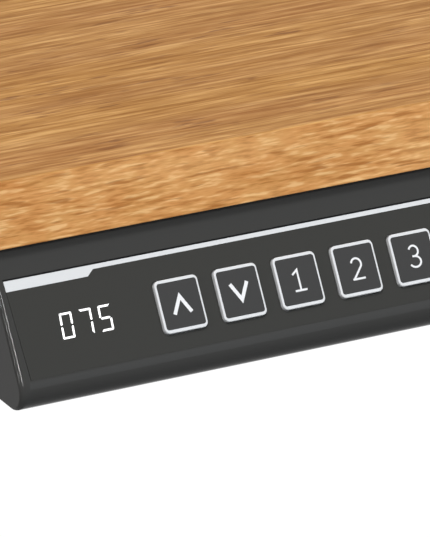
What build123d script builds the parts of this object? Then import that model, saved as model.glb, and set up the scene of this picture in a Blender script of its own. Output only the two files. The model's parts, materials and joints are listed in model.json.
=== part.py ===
from build123d import *

import os
from math import atan, cos, pi, radians, sin, sqrt, tan

# Height adjustable standing desk: a wood-look top on an electric frame with two telescopic columns.
# One motor turns a hexagon rod, and mitre gears at both column heads turn the lifting spindles.
# A hand switch with a display and five keys hangs under the front edge of the top.
# Millimetres, +Z up, floor at Z = 0, the user stands at -Y.  The top is at the displayed height.

os.makedirs("parts", exist_ok=True)

# Top
TOP_LENGTH = 1200.0
TOP_DEPTH = 600.0
TOP_THICKNESS = 18.0
TOP_HEIGHT = 750.0
DOWN_TRAVEL = 30.0
UP_TRAVEL = 450.0
BAND_THICKNESS = 0.6
BAND_EASE = 0.35

# Fits
FIT = 0.2
RUN_GAP = 0.2
GLIDE_FIT = 0.3
PILOT_FIT = 0.05

# Hand switch: sizes on its sloped face run down the slope from the underside of the top
FACE_TILT = 31.0
FACE_SET_BACK = 3.0
FACE_TOP = 8.89
KEY_DROP = 7.26
KEY_FOOT = 4.5
NOSE_RADIUS = 5.75
HEEL_RADIUS = 5.0
ROUND_HEAD = 1.65
ROUND_FOOT = 3.0
ROUND_DEPTH = 1.6
ROUND_TAIL = 0.5
ROUND_CREASE = 0.005
HANDSET_WALL = 2.4
HANDSET_LEFT = 344.45
HANDSET_BACK = 24.0
PANEL_THICKNESS = 1.6
PANEL_MARGIN = 0.15
PANEL_LEDGE = 1.5
PANEL_GAP = 0.12
PANEL_FIT = 0.02
PANEL_GROOVE = 0.45
STRIP_THIN = 1.12
STRIP_WIDE = 2.69
STRIP_WIDE_END = 24.55
STRIP_STEP = 1.8
STRIP_DEPTH = 0.5
DISPLAY_LEFT = 11.35
DISPLAY_LENGTH = 20.0
DISPLAY_HEIGHT = 11.0
BOARD_DEPTH = 6.5
BOARD_THICKNESS = 1.6
BOARD_EDGE = 0.5
POST_RADIUS = 1.5
EAR_WIDTH = 16.0
EAR_REACH = 14.0
EAR_INSET = 22.0

# Keys
KEY_NAMES = ("key_up", "key_down", "key_1", "key_2", "key_3")
KEY_WIDTH = 12.0
KEY_HEIGHT = 13.5
KEY_SPACING = 4.6
KEY_FIRST = 46.95
KEY_MARGIN = 9.2
KEY_RADIUS = 1.4
KEY_RAISE = 1.0
KEY_GAP = 0.2
KEY_FLANGE = 0.8
KEY_STEM = 2.0
KEY_TRAVEL = 0.5
KEY_EDGE = 0.25
SWITCH_SIZE = 6.0
SWITCH_HEIGHT = 2.6

# Sockets
SOCKET_WALL = 1.5
SIGNAL_LENGTH = 12.0
SIGNAL_HEIGHT = 7.0
SIGNAL_DEPTH = 10.0
SIGNAL_DROP = 12.0
MAINS_LENGTH = 25.0
MAINS_HEIGHT = 17.0
MAINS_DEPTH = 14.0
MAINS_PIN = 2.0
MAINS_PIN_PITCH = 7.0

# Screws and bolts
TAB_THICKNESS = 3.0
SCREW_RADIUS = 2.0
SCREW_HEAD_RADIUS = 4.0
SCREW_HEAD = 2.5
SCREW_BITE = 11.0
BOLT_RADIUS = 3.0
BOLT_HEAD_RADIUS = 5.5
BOLT_HEAD = 4.0
BOLT_NUT = 5.0

# Frame under the top
COLUMN_X = 440.0
ARM_INSET = 50.0
ARM_SHEET = 2.5
ARM_TIP = 18.0
ARM_SCREW_INNER = 115.0
ARM_SCREW_INSET = 22.0
ARM_SLOT = 14.0
RAIL_Y = 150.0
RAIL_HEIGHT = 30.0
RAIL_WIDTH = 20.0
RAIL_WALL = 1.5
RAIL_LENGTH = 560.0
RAIL_INSERT = 140.0
RAIL_FIT = 0.4
RAIL_RADIUS = 2.0
RAIL_PLATE = 3.0
RAIL_PLATE_WIDTH = 56.0
RAIL_BOLT_Y = 19.0
LOCK_SCREW_INSET = 60.0
HEAD_SHEET = 2.5
HEAD_PLATE = 4.0
HEAD_DEPTH = 130.0
HEAD_FLANGE = 40.0
HEAD_BOLT_Y = 54.0
HEAD_BOLT_RISE = 8.0
ROD_HOLE = 10.0

# Mitre gears and their cases
GEAR_TEETH = 16
GEAR_RADIUS = 13.0
GEAR_FACE = 4.5
GEAR_ADDENDUM = 1.1
GEAR_DEDENDUM = 1.7
GEAR_ROOT_HALF = 6.4
GEAR_TIP_HALF = 2.8
GEAR_HUB = 6.0
GEAR_HUB_RADIUS = 8.0
GEAR_ROOM = 1.5
CASE_WALL = 3.5
CASE_SIDE_ROOM = 5.0
CASE_LIP = 2.0
CASE_RADIUS = 3.0
LID_GAP = 1.0
BEARING_RADIUS = 13.0
BEARING_WIDTH = 8.0
BEARING_RING = 3.0
BEARING_DISH = 0.6

# Drive
ROD_FLATS = 8.0
ROD_FIT = 0.05
SLEEVE_RADIUS = 9.0
GEARBOX_LENGTH = 64.0
GEARBOX_EAR = 5.0
GEARBOX_EAR_HEIGHT = 26.0
MOTOR_BOLT_Y = 46.0
WORM_OFFSET = 22.0
WORM_RADIUS = 15.0
WORM_LENGTH = 64.0
MOTOR_RADIUS = 24.0
MOTOR_LENGTH = 86.0
MOTOR_CAP = 8.0
MOTOR_CAP_RADIUS = 20.0
MOTOR_FLANGE = 4.0
MOTOR_EDGE = 2.0

# Columns
TUBE_X = 50.0
TUBE_Y = 80.0
TUBE_WALL = 2.0
TUBE_RADIUS = 8.0
TUBE_GAP = 3.0
STOP_GAP = 3.0
FLOOR_GAP = 8.0
COLLAR_FLANGE = 3.0
COLLAR_DEPTH = 40.0
SLIDER_LIP = 2.0
SLIDER_HEIGHT = 40.0
SPINDLE_RADIUS = 8.0
JOURNAL_RADIUS = 5.0
SPINDLE_END = 10.0
NUT_RADIUS = 15.0
NUT_HEIGHT = 40.0
NUT_SPIGOT = 15.0
NUT_FIT = 0.1
POST_WALL = 2.5
POST_ROOM = 3.0

# Feet
FOOT_LENGTH = 580.0
FOOT_WIDTH = 76.0
FOOT_HEIGHT = 30.0
FOOT_TIP = 20.0
FOOT_FLAT = 180.0
FOOT_SHEET = 2.5
FOOT_CORNER = 14.0
FOOT_EDGE = 3.0
PLATE_THICKNESS = 5.0
PLATE_MARGIN = 4.0
PLATE_Y = 136.0
PLATE_BOLT_INSET = 10.0
LEVELER_INSET = 40.0
LEVELER_RADIUS = 18.0
LEVELER_PAD = 8.0
LEVELER_CHAMFER = 2.0
LEVELER_GAP = 2.0
STUD_RADIUS = 4.0
STUD_BITE = 17.0
STUD_FIT = 0.15
STUD_WALL = 4.0

# Control box
CONTROL_X = -90.0
CONTROL_LENGTH = 240.0
CONTROL_DEPTH = 84.0
CONTROL_HEIGHT = 40.0
CONTROL_WALL = 2.2
CONTROL_GAP = 12.0
CONTROL_RADIUS = 4.0
CONTROL_TAB = 18.0
CONTROL_TAB_Y = 28.0
CONTROL_BOARD_DROP = 9.0
CONTROL_BOARD_MARGIN = 8.0
VENT_COUNT = 9
VENT_PITCH = 12.0
VENT_LENGTH = 18.0
VENT_WIDTH = 3.0

# Worked out from the sizes above: hand switch
TILT = radians(FACE_TILT)
FACE_LENGTH = FACE_TOP + KEY_DROP + KEY_HEIGHT + KEY_FOOT
NOSE_TANGENT = NOSE_RADIUS / tan(radians(90 - FACE_TILT) / 2)
HANDSET_HEIGHT = (FACE_LENGTH + NOSE_TANGENT) * cos(TILT)
NOSE_AXIS = FACE_SET_BACK - (HANDSET_HEIGHT - NOSE_RADIUS) * tan(TILT) + NOSE_RADIUS / cos(TILT)
HANDSET_REACH = NOSE_RADIUS - NOSE_AXIS
KEY_PITCH = KEY_WIDTH + KEY_SPACING
HANDSET_LENGTH = KEY_FIRST + (len(KEY_NAMES) - 1) * KEY_PITCH + KEY_WIDTH / 2 + KEY_MARGIN
HANDSET_X = HANDSET_LEFT + HANDSET_LENGTH / 2

# The origin is under the middle of the whole desk, so the top sits back by half the hand switch's reach
MID_Y = HANDSET_REACH / 2
FRONT_Y = MID_Y - TOP_DEPTH / 2
UNDERSIDE = TOP_HEIGHT - TOP_THICKNESS

# Worked out: gears, cases and heads, from the top downwards
CONE = radians(45)
CONE_LENGTH = GEAR_RADIUS * sqrt(2)
GEAR_TIP = GEAR_RADIUS * tan(CONE + atan(GEAR_ADDENDUM / CONE_LENGTH))
GEAR_ROOT = GEAR_RADIUS * tan(CONE - atan(GEAR_DEDENDUM / CONE_LENGTH))
CASE_TOP = UNDERSIDE - ARM_SHEET - LID_GAP
ROD_Z = CASE_TOP - CASE_WALL - GEAR_ROOM - GEAR_TIP
BEARING_TOP = ROD_Z - GEAR_RADIUS - GEAR_HUB - RUN_GAP
BEARING_BOTTOM = BEARING_TOP - BEARING_WIDTH
CASE_BOTTOM = BEARING_BOTTOM - CASE_LIP
COLUMN_TOP = CASE_BOTTOM - HEAD_PLATE
CASE_Y = 2 * (GEAR_TIP + CASE_SIDE_ROOM + CASE_WALL)
CASE_X = CASE_Y + 2 * GEAR_HUB
PINION_HUB = CASE_X / 2 - GEAR_RADIUS
HEAD_X = CASE_X + 2 * (HEAD_SHEET + FIT)
ARM_X = HEAD_X + 2 * (ARM_SHEET + FIT)
ARM_DEEP_Y = HEAD_DEPTH + 2 * CASE_WALL
ARM_LENGTH = TOP_DEPTH - 2 * ARM_INSET
ROD_CORNER = ROD_FLATS / sqrt(3)

# Worked out: columns, from the floor upwards
FOOT_BOTTOM = LEVELER_PAD + LEVELER_GAP
FOOT_TOP = FOOT_BOTTOM + FOOT_HEIGHT
PLATE_TOP = FOOT_TOP + PLATE_THICKNESS
LOWER_TOP = COLUMN_TOP - DOWN_TRAVEL - STOP_GAP - COLLAR_FLANGE
UPPER_BOTTOM = PLATE_TOP + FLOOR_GAP + SLIDER_LIP + DOWN_TRAVEL
UPPER_X = TUBE_X - 2 * (TUBE_WALL + TUBE_GAP)
UPPER_Y = TUBE_Y - 2 * (TUBE_WALL + TUBE_GAP)
UPPER_RADIUS = TUBE_RADIUS - TUBE_WALL - TUBE_GAP
POST_TOP = LOWER_TOP - NUT_HEIGHT
POST_BORE = SPINDLE_RADIUS + POST_ROOM
SPINDLE_BOTTOM = POST_TOP - NUT_SPIGOT - UP_TRAVEL - SPINDLE_END
PLATE_BOLT_X = (FOOT_WIDTH - 2 * PLATE_MARGIN) / 2 - PLATE_BOLT_INSET
PLATE_BOLT_Y = PLATE_Y / 2 - PLATE_BOLT_INSET
LEVELER_Y = FOOT_LENGTH / 2 - LEVELER_INSET

# Worked out: drive and control box
GEARBOX_X = -COLUMN_X + ARM_X / 2
WHEEL_RADIUS = UNDERSIDE - ROD_Z - LID_GAP
WORM_Z = ROD_Z - WORM_OFFSET
CONTROL_Y = MID_Y + RAIL_Y + RAIL_WIDTH / 2 + CONTROL_GAP + CONTROL_DEPTH / 2
CONTROL_BOTTOM = UNDERSIDE - CONTROL_HEIGHT
RAIL_Z = UNDERSIDE - RAIL_HEIGHT / 2
HEAD_POINTS = [(MID_Y + j * HEAD_BOLT_Y, CASE_BOTTOM + HEAD_BOLT_RISE) for j in (-1, 1)]
RAIL_POINTS = [(MID_Y + i * RAIL_Y + j * RAIL_BOLT_Y, RAIL_Z) for i in (-1, 1) for j in (-1, 1)]
MOTOR_POINTS = [(MID_Y + j * MOTOR_BOLT_Y, ROD_Z) for j in (-1, 1)]

COLUMNS = {"left": -COLUMN_X, "right": COLUMN_X}
FACE = Plane((HANDSET_X, FRONT_Y + FACE_SET_BACK, UNDERSIDE), (1, 0, 0), (0, -cos(TILT), sin(TILT)))
FACE_AXIS = Axis(FACE.origin, FACE.z_dir)
HANDSET_END = Plane.YZ.offset(HANDSET_LEFT)
PANEL_FOOT = FACE_LENGTH - PANEL_MARGIN
PANEL_HEIGHT = PANEL_FOOT - FACE_TOP
PANEL_MIDDLE = -FACE_TOP - PANEL_HEIGHT / 2
KEY_MIDDLE = -FACE_TOP - KEY_DROP - KEY_HEIGHT / 2
KEY_XS = [KEY_FIRST + i * KEY_PITCH - HANDSET_LENGTH / 2 for i in range(len(KEY_NAMES))]
EAR_X = HANDSET_LENGTH / 2 - EAR_INSET
EAR_Y = FRONT_Y + HANDSET_BACK + EAR_REACH - EAR_WIDTH / 2
EAR_POINTS = [(HANDSET_X + side * EAR_X, EAR_Y) for side in (-1, 1)]
TAB_X = CONTROL_LENGTH / 2 + CONTROL_TAB / 2
TAB_POINTS = [(CONTROL_X + i * TAB_X, CONTROL_Y + j * CONTROL_TAB_Y) for i in (-1, 1) for j in (-1, 1)]
ARM_SCREW_OUTER = ARM_LENGTH / 2 - ARM_SCREW_INSET
ARM_SCREW_YS = (-ARM_SCREW_OUTER, -ARM_SCREW_INNER, ARM_SCREW_INNER, ARM_SCREW_OUTER)
ARM_POINTS = [(x, MID_Y + y) for x in COLUMNS.values() for y in ARM_SCREW_YS]


def save(piece, name):
    """Label a finished piece and write it under its node name."""
    piece.label = name
    export_step(piece, f"parts/{name}.step")


def column_plane(column_x, height):
    """Horizontal plane centred on a column's axis."""
    return Plane((column_x, MID_Y, height))


# Top: a board with a thin edge band round it
with BuildPart() as desktop:
    with BuildSketch(Plane((0, MID_Y, UNDERSIDE))):
        Rectangle(TOP_LENGTH - 2 * BAND_THICKNESS, TOP_DEPTH - 2 * BAND_THICKNESS)
    extrude(amount=TOP_THICKNESS)
    with BuildSketch(Plane.XY.offset(UNDERSIDE)):
        with Locations(*EAR_POINTS, *TAB_POINTS):
            Circle(SCREW_RADIUS + PILOT_FIT)
    extrude(amount=SCREW_BITE, mode=Mode.SUBTRACT)
    with BuildSketch(Plane.XY.offset(UNDERSIDE)):
        with Locations(*ARM_POINTS):
            Circle(SCREW_RADIUS + PILOT_FIT)
    extrude(amount=SCREW_BITE, mode=Mode.SUBTRACT)
save(desktop.part, "desktop")

with BuildPart() as edge_banding:
    with BuildSketch(Plane((0, MID_Y, UNDERSIDE))):
        Rectangle(TOP_LENGTH, TOP_DEPTH)
        Rectangle(TOP_LENGTH - 2 * BAND_THICKNESS, TOP_DEPTH - 2 * BAND_THICKNESS, mode=Mode.SUBTRACT)
    extrude(amount=TOP_THICKNESS)
    rims = edge_banding.faces().filter_by(Axis.Z)
    fillet([edge for rim in rims for edge in rim.outer_wire().edges()], BAND_EASE)
save(edge_banding.part, "edge_banding")


# Screws that go up into the top
def wood_screws(points, grip, name):
    """Pan head screws through a tab of thickness grip, with their shanks in the board."""
    with BuildPart() as screws:
        with BuildSketch(Plane.XY.offset(UNDERSIDE - grip)):
            with Locations(*points):
                Circle(SCREW_RADIUS)
        extrude(amount=grip + SCREW_BITE)
        with BuildSketch(Plane.XY.offset(UNDERSIDE - grip)):
            with Locations(*points):
                Circle(SCREW_HEAD_RADIUS)
        extrude(amount=-SCREW_HEAD)
        chamfer(screws.faces().sort_by(Axis.Z)[: len(points)].edges(), SCREW_HEAD / 4)
    save(screws.part, name)


wood_screws(EAR_POINTS + TAB_POINTS, TAB_THICKNESS, "tab_screws")
wood_screws(ARM_POINTS, ARM_SHEET, "desktop_screws")

# Outline of the hand switch seen from its end: a wedge with a rounded nose and heel
with BuildSketch(HANDSET_END) as profile:
    apex_y = FRONT_Y + FACE_SET_BACK - HANDSET_HEIGHT * tan(TILT)
    bottom = UNDERSIDE - HANDSET_HEIGHT
    back_y = FRONT_Y + HANDSET_BACK
    with BuildLine():
        Polyline(
            (FRONT_Y + FACE_SET_BACK, UNDERSIDE),
            (apex_y, bottom),
            (back_y, bottom),
            (back_y, UNDERSIDE),
            close=True,
        )
    make_face()
    fillet(profile.vertices().sort_by(Axis.X)[0], NOSE_RADIUS)
    fillet(profile.vertices().group_by(Axis.Y)[0].sort_by(Axis.X)[-1], HEEL_RADIUS)


# Rounding of the ends: its elliptical section widens down the face and shrinks round the nose
def round_width(drop):
    """Width of the rounding at a drop down the slope."""
    return ROUND_HEAD + (ROUND_FOOT - ROUND_HEAD) * drop / FACE_LENGTH


def panel_half(drop):
    """Half the length of the face panel at a drop down the slope."""
    return HANDSET_LENGTH / 2 - round_width(drop) - PANEL_MARGIN


def panel_outline(ends, head, foot):
    """The face panel's outline, let out by gaps at its ends, its head and its foot."""
    Polyline(
        (-panel_half(FACE_TOP) - ends, -FACE_TOP + head),
        (panel_half(FACE_TOP) + ends, -FACE_TOP + head),
        (panel_half(PANEL_FOOT) + ends, -PANEL_FOOT - foot),
        (-panel_half(PANEL_FOOT) - ends, -PANEL_FOOT - foot),
        close=True,
    )


nose, _, *back_rim = profile.sketch.edges().sort_by(Axis.Z)[:-1].sort_by(Axis.Y)
head_plane, foot_plane = [
    Plane(FACE.from_local_coords((-HANDSET_LENGTH / 2, -drop, 0)), (1, 0, 0), -FACE.y_dir)
    for drop in (-ROUND_DEPTH, FACE_LENGTH)
]
tail_plane = Plane((HANDSET_LEFT, nose.arc_center.Y, bottom), (1, 0, 0), (0, 1, 0))
round_sections = []
for plane, width, depth in (
    (head_plane, round_width(-ROUND_DEPTH), ROUND_DEPTH),
    (foot_plane, ROUND_FOOT, ROUND_DEPTH),
    (tail_plane, ROUND_TAIL, ROUND_TAIL),
):
    with BuildSketch(plane) as round_section:
        Rectangle(2 * width, 2 * depth)
        with Locations((width, -depth)):
            Ellipse(width, depth + ROUND_CREASE, mode=Mode.SUBTRACT)
    round_sections.append(round_section.sketch)
with BuildPart() as left_round:
    loft(round_sections[:2], ruled=True)
    sweep(round_sections[1:], path=nose, multisection=True)
    sweep(round_sections[2], path=Wire(back_rim))

# Hand switch shell: hollow, with rounded ends, open where the face panel sits
with BuildPart() as handset_shell:
    extrude(profile.sketch, amount=HANDSET_LENGTH)
    add(left_round.part, mode=Mode.SUBTRACT)
    add(mirror(left_round.part, about=Plane.YZ.offset(HANDSET_X)), mode=Mode.SUBTRACT)
    with BuildSketch(HANDSET_END.offset(HANDSET_WALL)):
        offset(profile.sketch_local, amount=-HANDSET_WALL)
    extrude(amount=HANDSET_LENGTH - 2 * HANDSET_WALL, mode=Mode.SUBTRACT)
    with BuildSketch(FACE):
        with BuildLine():
            panel_outline(PANEL_GAP, PANEL_GROOVE, PANEL_FIT)
        make_face()
    extrude(amount=-PANEL_THICKNESS, mode=Mode.SUBTRACT)
    with BuildSketch(FACE):
        with BuildLine():
            panel_outline(-PANEL_LEDGE, -PANEL_LEDGE, -PANEL_LEDGE)
        make_face()
    extrude(amount=-HANDSET_WALL - PANEL_LEDGE, mode=Mode.SUBTRACT)
    with BuildSketch(Plane.XY.offset(UNDERSIDE - TAB_THICKNESS)):
        for ear_x, ear_y in EAR_POINTS:
            with Locations((ear_x, ear_y)):
                Circle(EAR_WIDTH / 2)
            with Locations((ear_x, (ear_y + back_y - HANDSET_WALL) / 2)):
                Rectangle(EAR_WIDTH, ear_y - back_y + HANDSET_WALL)
        with Locations(*EAR_POINTS):
            Circle(SCREW_RADIUS + FIT, mode=Mode.SUBTRACT)
    extrude(amount=TAB_THICKNESS)
    with BuildSketch(Plane.XZ.offset(-back_y)):
        with Locations((HANDSET_X, UNDERSIDE - SIGNAL_DROP - SIGNAL_HEIGHT / 2)):
            Rectangle(SIGNAL_LENGTH + 2 * SOCKET_WALL + 2 * FIT, SIGNAL_HEIGHT + 2 * SOCKET_WALL + 2 * FIT)
    extrude(amount=2 * HANDSET_WALL, both=True, mode=Mode.SUBTRACT)
save(handset_shell.part, "handset_shell")

# Inlaid strip along the top of the face: wide at the left, then a slanted step down to a thin line
with BuildPart() as accent_strip:
    with BuildSketch(FACE):
        wide_drop = FACE_TOP + STRIP_WIDE
        thin_drop = FACE_TOP + STRIP_THIN
        step_x = STRIP_WIDE_END - HANDSET_LENGTH / 2
        with BuildLine():
            Polyline(
                (-panel_half(FACE_TOP), -FACE_TOP),
                (-panel_half(wide_drop), -wide_drop),
                (step_x, -wide_drop),
                (step_x + STRIP_STEP, -thin_drop),
                (panel_half(thin_drop), -thin_drop),
                (panel_half(FACE_TOP), -FACE_TOP),
                close=True,
            )
        make_face()
    extrude(amount=-STRIP_DEPTH)
save(accent_strip.part, "accent_strip")

# Face panel with its key openings, and posts at the back that carry the circuit board
BOARD_LENGTH = 2 * (panel_half(PANEL_FOOT) - PANEL_LEDGE - BOARD_EDGE)
BOARD_HEIGHT = PANEL_HEIGHT - 2 * (PANEL_LEDGE + BOARD_EDGE)
with BuildPart() as handset_face:
    with BuildSketch(FACE):
        with BuildLine():
            panel_outline(0, 0, 0)
        make_face()
        with Locations(*[(x, KEY_MIDDLE) for x in KEY_XS]):
            RectangleRounded(
                KEY_WIDTH + 2 * KEY_GAP, KEY_HEIGHT + 2 * KEY_GAP, KEY_RADIUS + KEY_GAP, mode=Mode.SUBTRACT
            )
    extrude(amount=-PANEL_THICKNESS)
    add(accent_strip.part, mode=Mode.SUBTRACT)
    with BuildSketch(FACE.offset(-PANEL_THICKNESS)):
        with Locations((0, PANEL_MIDDLE)):
            with GridLocations(BOARD_LENGTH - 2 * POST_RADIUS, BOARD_HEIGHT - 2 * POST_RADIUS, 2, 2):
                Circle(POST_RADIUS)
    extrude(amount=PANEL_THICKNESS - BOARD_DEPTH)
save(handset_face.part, "handset_face")

# Circuit board, numeral display and key switches behind the face
with BuildPart() as handset_board:
    with BuildSketch(FACE.offset(-BOARD_DEPTH)):
        with Locations((0, PANEL_MIDDLE)):
            Rectangle(BOARD_LENGTH, BOARD_HEIGHT)
    extrude(amount=-BOARD_THICKNESS)
save(handset_board.part, "handset_board")

with BuildPart() as led_display:
    with BuildSketch(FACE.offset(-PANEL_THICKNESS)):
        with Locations((DISPLAY_LEFT + DISPLAY_LENGTH / 2 - HANDSET_LENGTH / 2, KEY_MIDDLE)):
            Rectangle(DISPLAY_LENGTH, DISPLAY_HEIGHT)
    extrude(amount=PANEL_THICKNESS - BOARD_DEPTH)
save(led_display.part, "led_display")

with BuildPart() as key_switches:
    with BuildSketch(FACE.offset(-BOARD_DEPTH)):
        with Locations(*[(x, KEY_MIDDLE) for x in KEY_XS]):
            Rectangle(SWITCH_SIZE, SWITCH_SIZE)
    extrude(amount=SWITCH_HEIGHT)
save(key_switches.part, "key_switches")

# Keys: raised caps with a flange behind the panel and a stem above the switch
for key_name, key_x in zip(KEY_NAMES, KEY_XS):
    with BuildPart() as key:
        with BuildSketch(FACE.offset(KEY_RAISE)):
            with Locations((key_x, KEY_MIDDLE)):
                RectangleRounded(KEY_WIDTH, KEY_HEIGHT, KEY_RADIUS)
        extrude(amount=-KEY_RAISE - PANEL_THICKNESS - FIT)
        fillet(key.faces().sort_by(FACE_AXIS)[-1].edges(), KEY_EDGE)
        with BuildSketch(FACE.offset(-PANEL_THICKNESS - FIT)):
            with Locations((key_x, KEY_MIDDLE)):
                RectangleRounded(KEY_WIDTH + 2 * KEY_FLANGE, KEY_HEIGHT + 2 * KEY_FLANGE, KEY_RADIUS)
        extrude(amount=-KEY_FLANGE)
        stem_top = PANEL_THICKNESS + FIT + KEY_FLANGE
        stem_end = BOARD_DEPTH - SWITCH_HEIGHT - KEY_TRAVEL - FIT
        with BuildSketch(FACE.offset(-stem_top)):
            with Locations((key_x, KEY_MIDDLE)):
                Circle(KEY_STEM)
        extrude(amount=stem_top - stem_end)
    save(key.part, key_name)

# Feet: pressed steel channels that taper to their ends, with bosses for the levelling feet
def foot_profile(drop):
    """Side view of a foot in the YZ plane, its sheet taken off the top and the ends by drop."""
    half = FOOT_LENGTH / 2 - drop
    Polyline(
        (MID_Y - half, FOOT_BOTTOM),
        (MID_Y - half, FOOT_BOTTOM + FOOT_TIP - drop),
        (MID_Y - FOOT_FLAT / 2, FOOT_TOP - drop),
        (MID_Y + FOOT_FLAT / 2, FOOT_TOP - drop),
        (MID_Y + half, FOOT_BOTTOM + FOOT_TIP - drop),
        (MID_Y + half, FOOT_BOTTOM),
        close=True,
    )


LEVELER_POINTS = [(0, -LEVELER_Y), (0, LEVELER_Y)]

for side, column_x in COLUMNS.items():
    with BuildPart() as hollow:
        with BuildSketch(Plane.YZ.offset(column_x)):
            with BuildLine():
                foot_profile(FOOT_SHEET)
            make_face()
        extrude(amount=FOOT_WIDTH / 2 - FOOT_SHEET, both=True)
        fillet(hollow.edges().filter_by(Axis.Z), FOOT_CORNER - FOOT_SHEET)
        with BuildSketch(column_plane(column_x, FOOT_BOTTOM)):
            with Locations(*LEVELER_POINTS):
                Circle(STUD_RADIUS + STUD_WALL)
        extrude(amount=FOOT_HEIGHT, mode=Mode.SUBTRACT)
    with BuildPart() as foot:
        with BuildSketch(Plane.YZ.offset(column_x)):
            with BuildLine():
                foot_profile(0)
            make_face()
        extrude(amount=FOOT_WIDTH / 2, both=True)
        fillet(foot.edges().filter_by(Axis.Z), FOOT_CORNER)
        fillet(foot.edges().group_by(Axis.Z)[1:], FOOT_EDGE)
        add(hollow.part, mode=Mode.SUBTRACT)
        with BuildSketch(column_plane(column_x, FOOT_BOTTOM)):
            with Locations(*LEVELER_POINTS):
                Circle(STUD_RADIUS + STUD_FIT)
        extrude(amount=STUD_BITE + STUD_FIT, mode=Mode.SUBTRACT)
        with BuildSketch(column_plane(column_x, FOOT_TOP)):
            with GridLocations(2 * PLATE_BOLT_X, 2 * PLATE_BOLT_Y, 2, 2):
                Circle(BOLT_RADIUS + FIT)
        extrude(amount=-FOOT_SHEET, mode=Mode.SUBTRACT)
    save(foot.part, f"{side}_foot")

# Levelling feet: a pad on a threaded stud in each foot boss
for side, column_x in COLUMNS.items():
    for end, (_, leveler_y) in zip(("front", "rear"), LEVELER_POINTS):
        with BuildPart() as leveler:
            with BuildSketch(Plane((column_x, MID_Y + leveler_y, 0))):
                Circle(LEVELER_RADIUS)
            extrude(amount=LEVELER_PAD)
            chamfer(leveler.faces().sort_by(Axis.Z)[-1].edges(), LEVELER_CHAMFER)
            with BuildSketch(Plane((column_x, MID_Y + leveler_y, LEVELER_PAD))):
                Circle(STUD_RADIUS)
            extrude(amount=LEVELER_GAP + STUD_BITE)
        save(leveler.part, f"{side}_{end}_leveler")

# Bolts up through the feet into the base plates of the columns
with BuildPart() as foot_bolts:
    for column_x in COLUMNS.values():
        with BuildSketch(column_plane(column_x, FOOT_TOP - FOOT_SHEET)):
            with GridLocations(2 * PLATE_BOLT_X, 2 * PLATE_BOLT_Y, 2, 2):
                Circle(BOLT_RADIUS)
        extrude(amount=FOOT_SHEET + PLATE_THICKNESS)
        with BuildSketch(column_plane(column_x, FOOT_TOP - FOOT_SHEET)):
            with GridLocations(2 * PLATE_BOLT_X, 2 * PLATE_BOLT_Y, 2, 2):
                RegularPolygon(BOLT_HEAD_RADIUS, 6)
        extrude(amount=-BOLT_HEAD)
save(foot_bolts.part, "foot_bolts")


# Columns
def tube_section(size_x, size_y, radius, wall):
    """Hollow rounded rectangle on the current sketch plane."""
    RectangleRounded(size_x, size_y, radius)
    RectangleRounded(size_x - 2 * wall, size_y - 2 * wall, radius - wall, mode=Mode.SUBTRACT)


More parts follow.
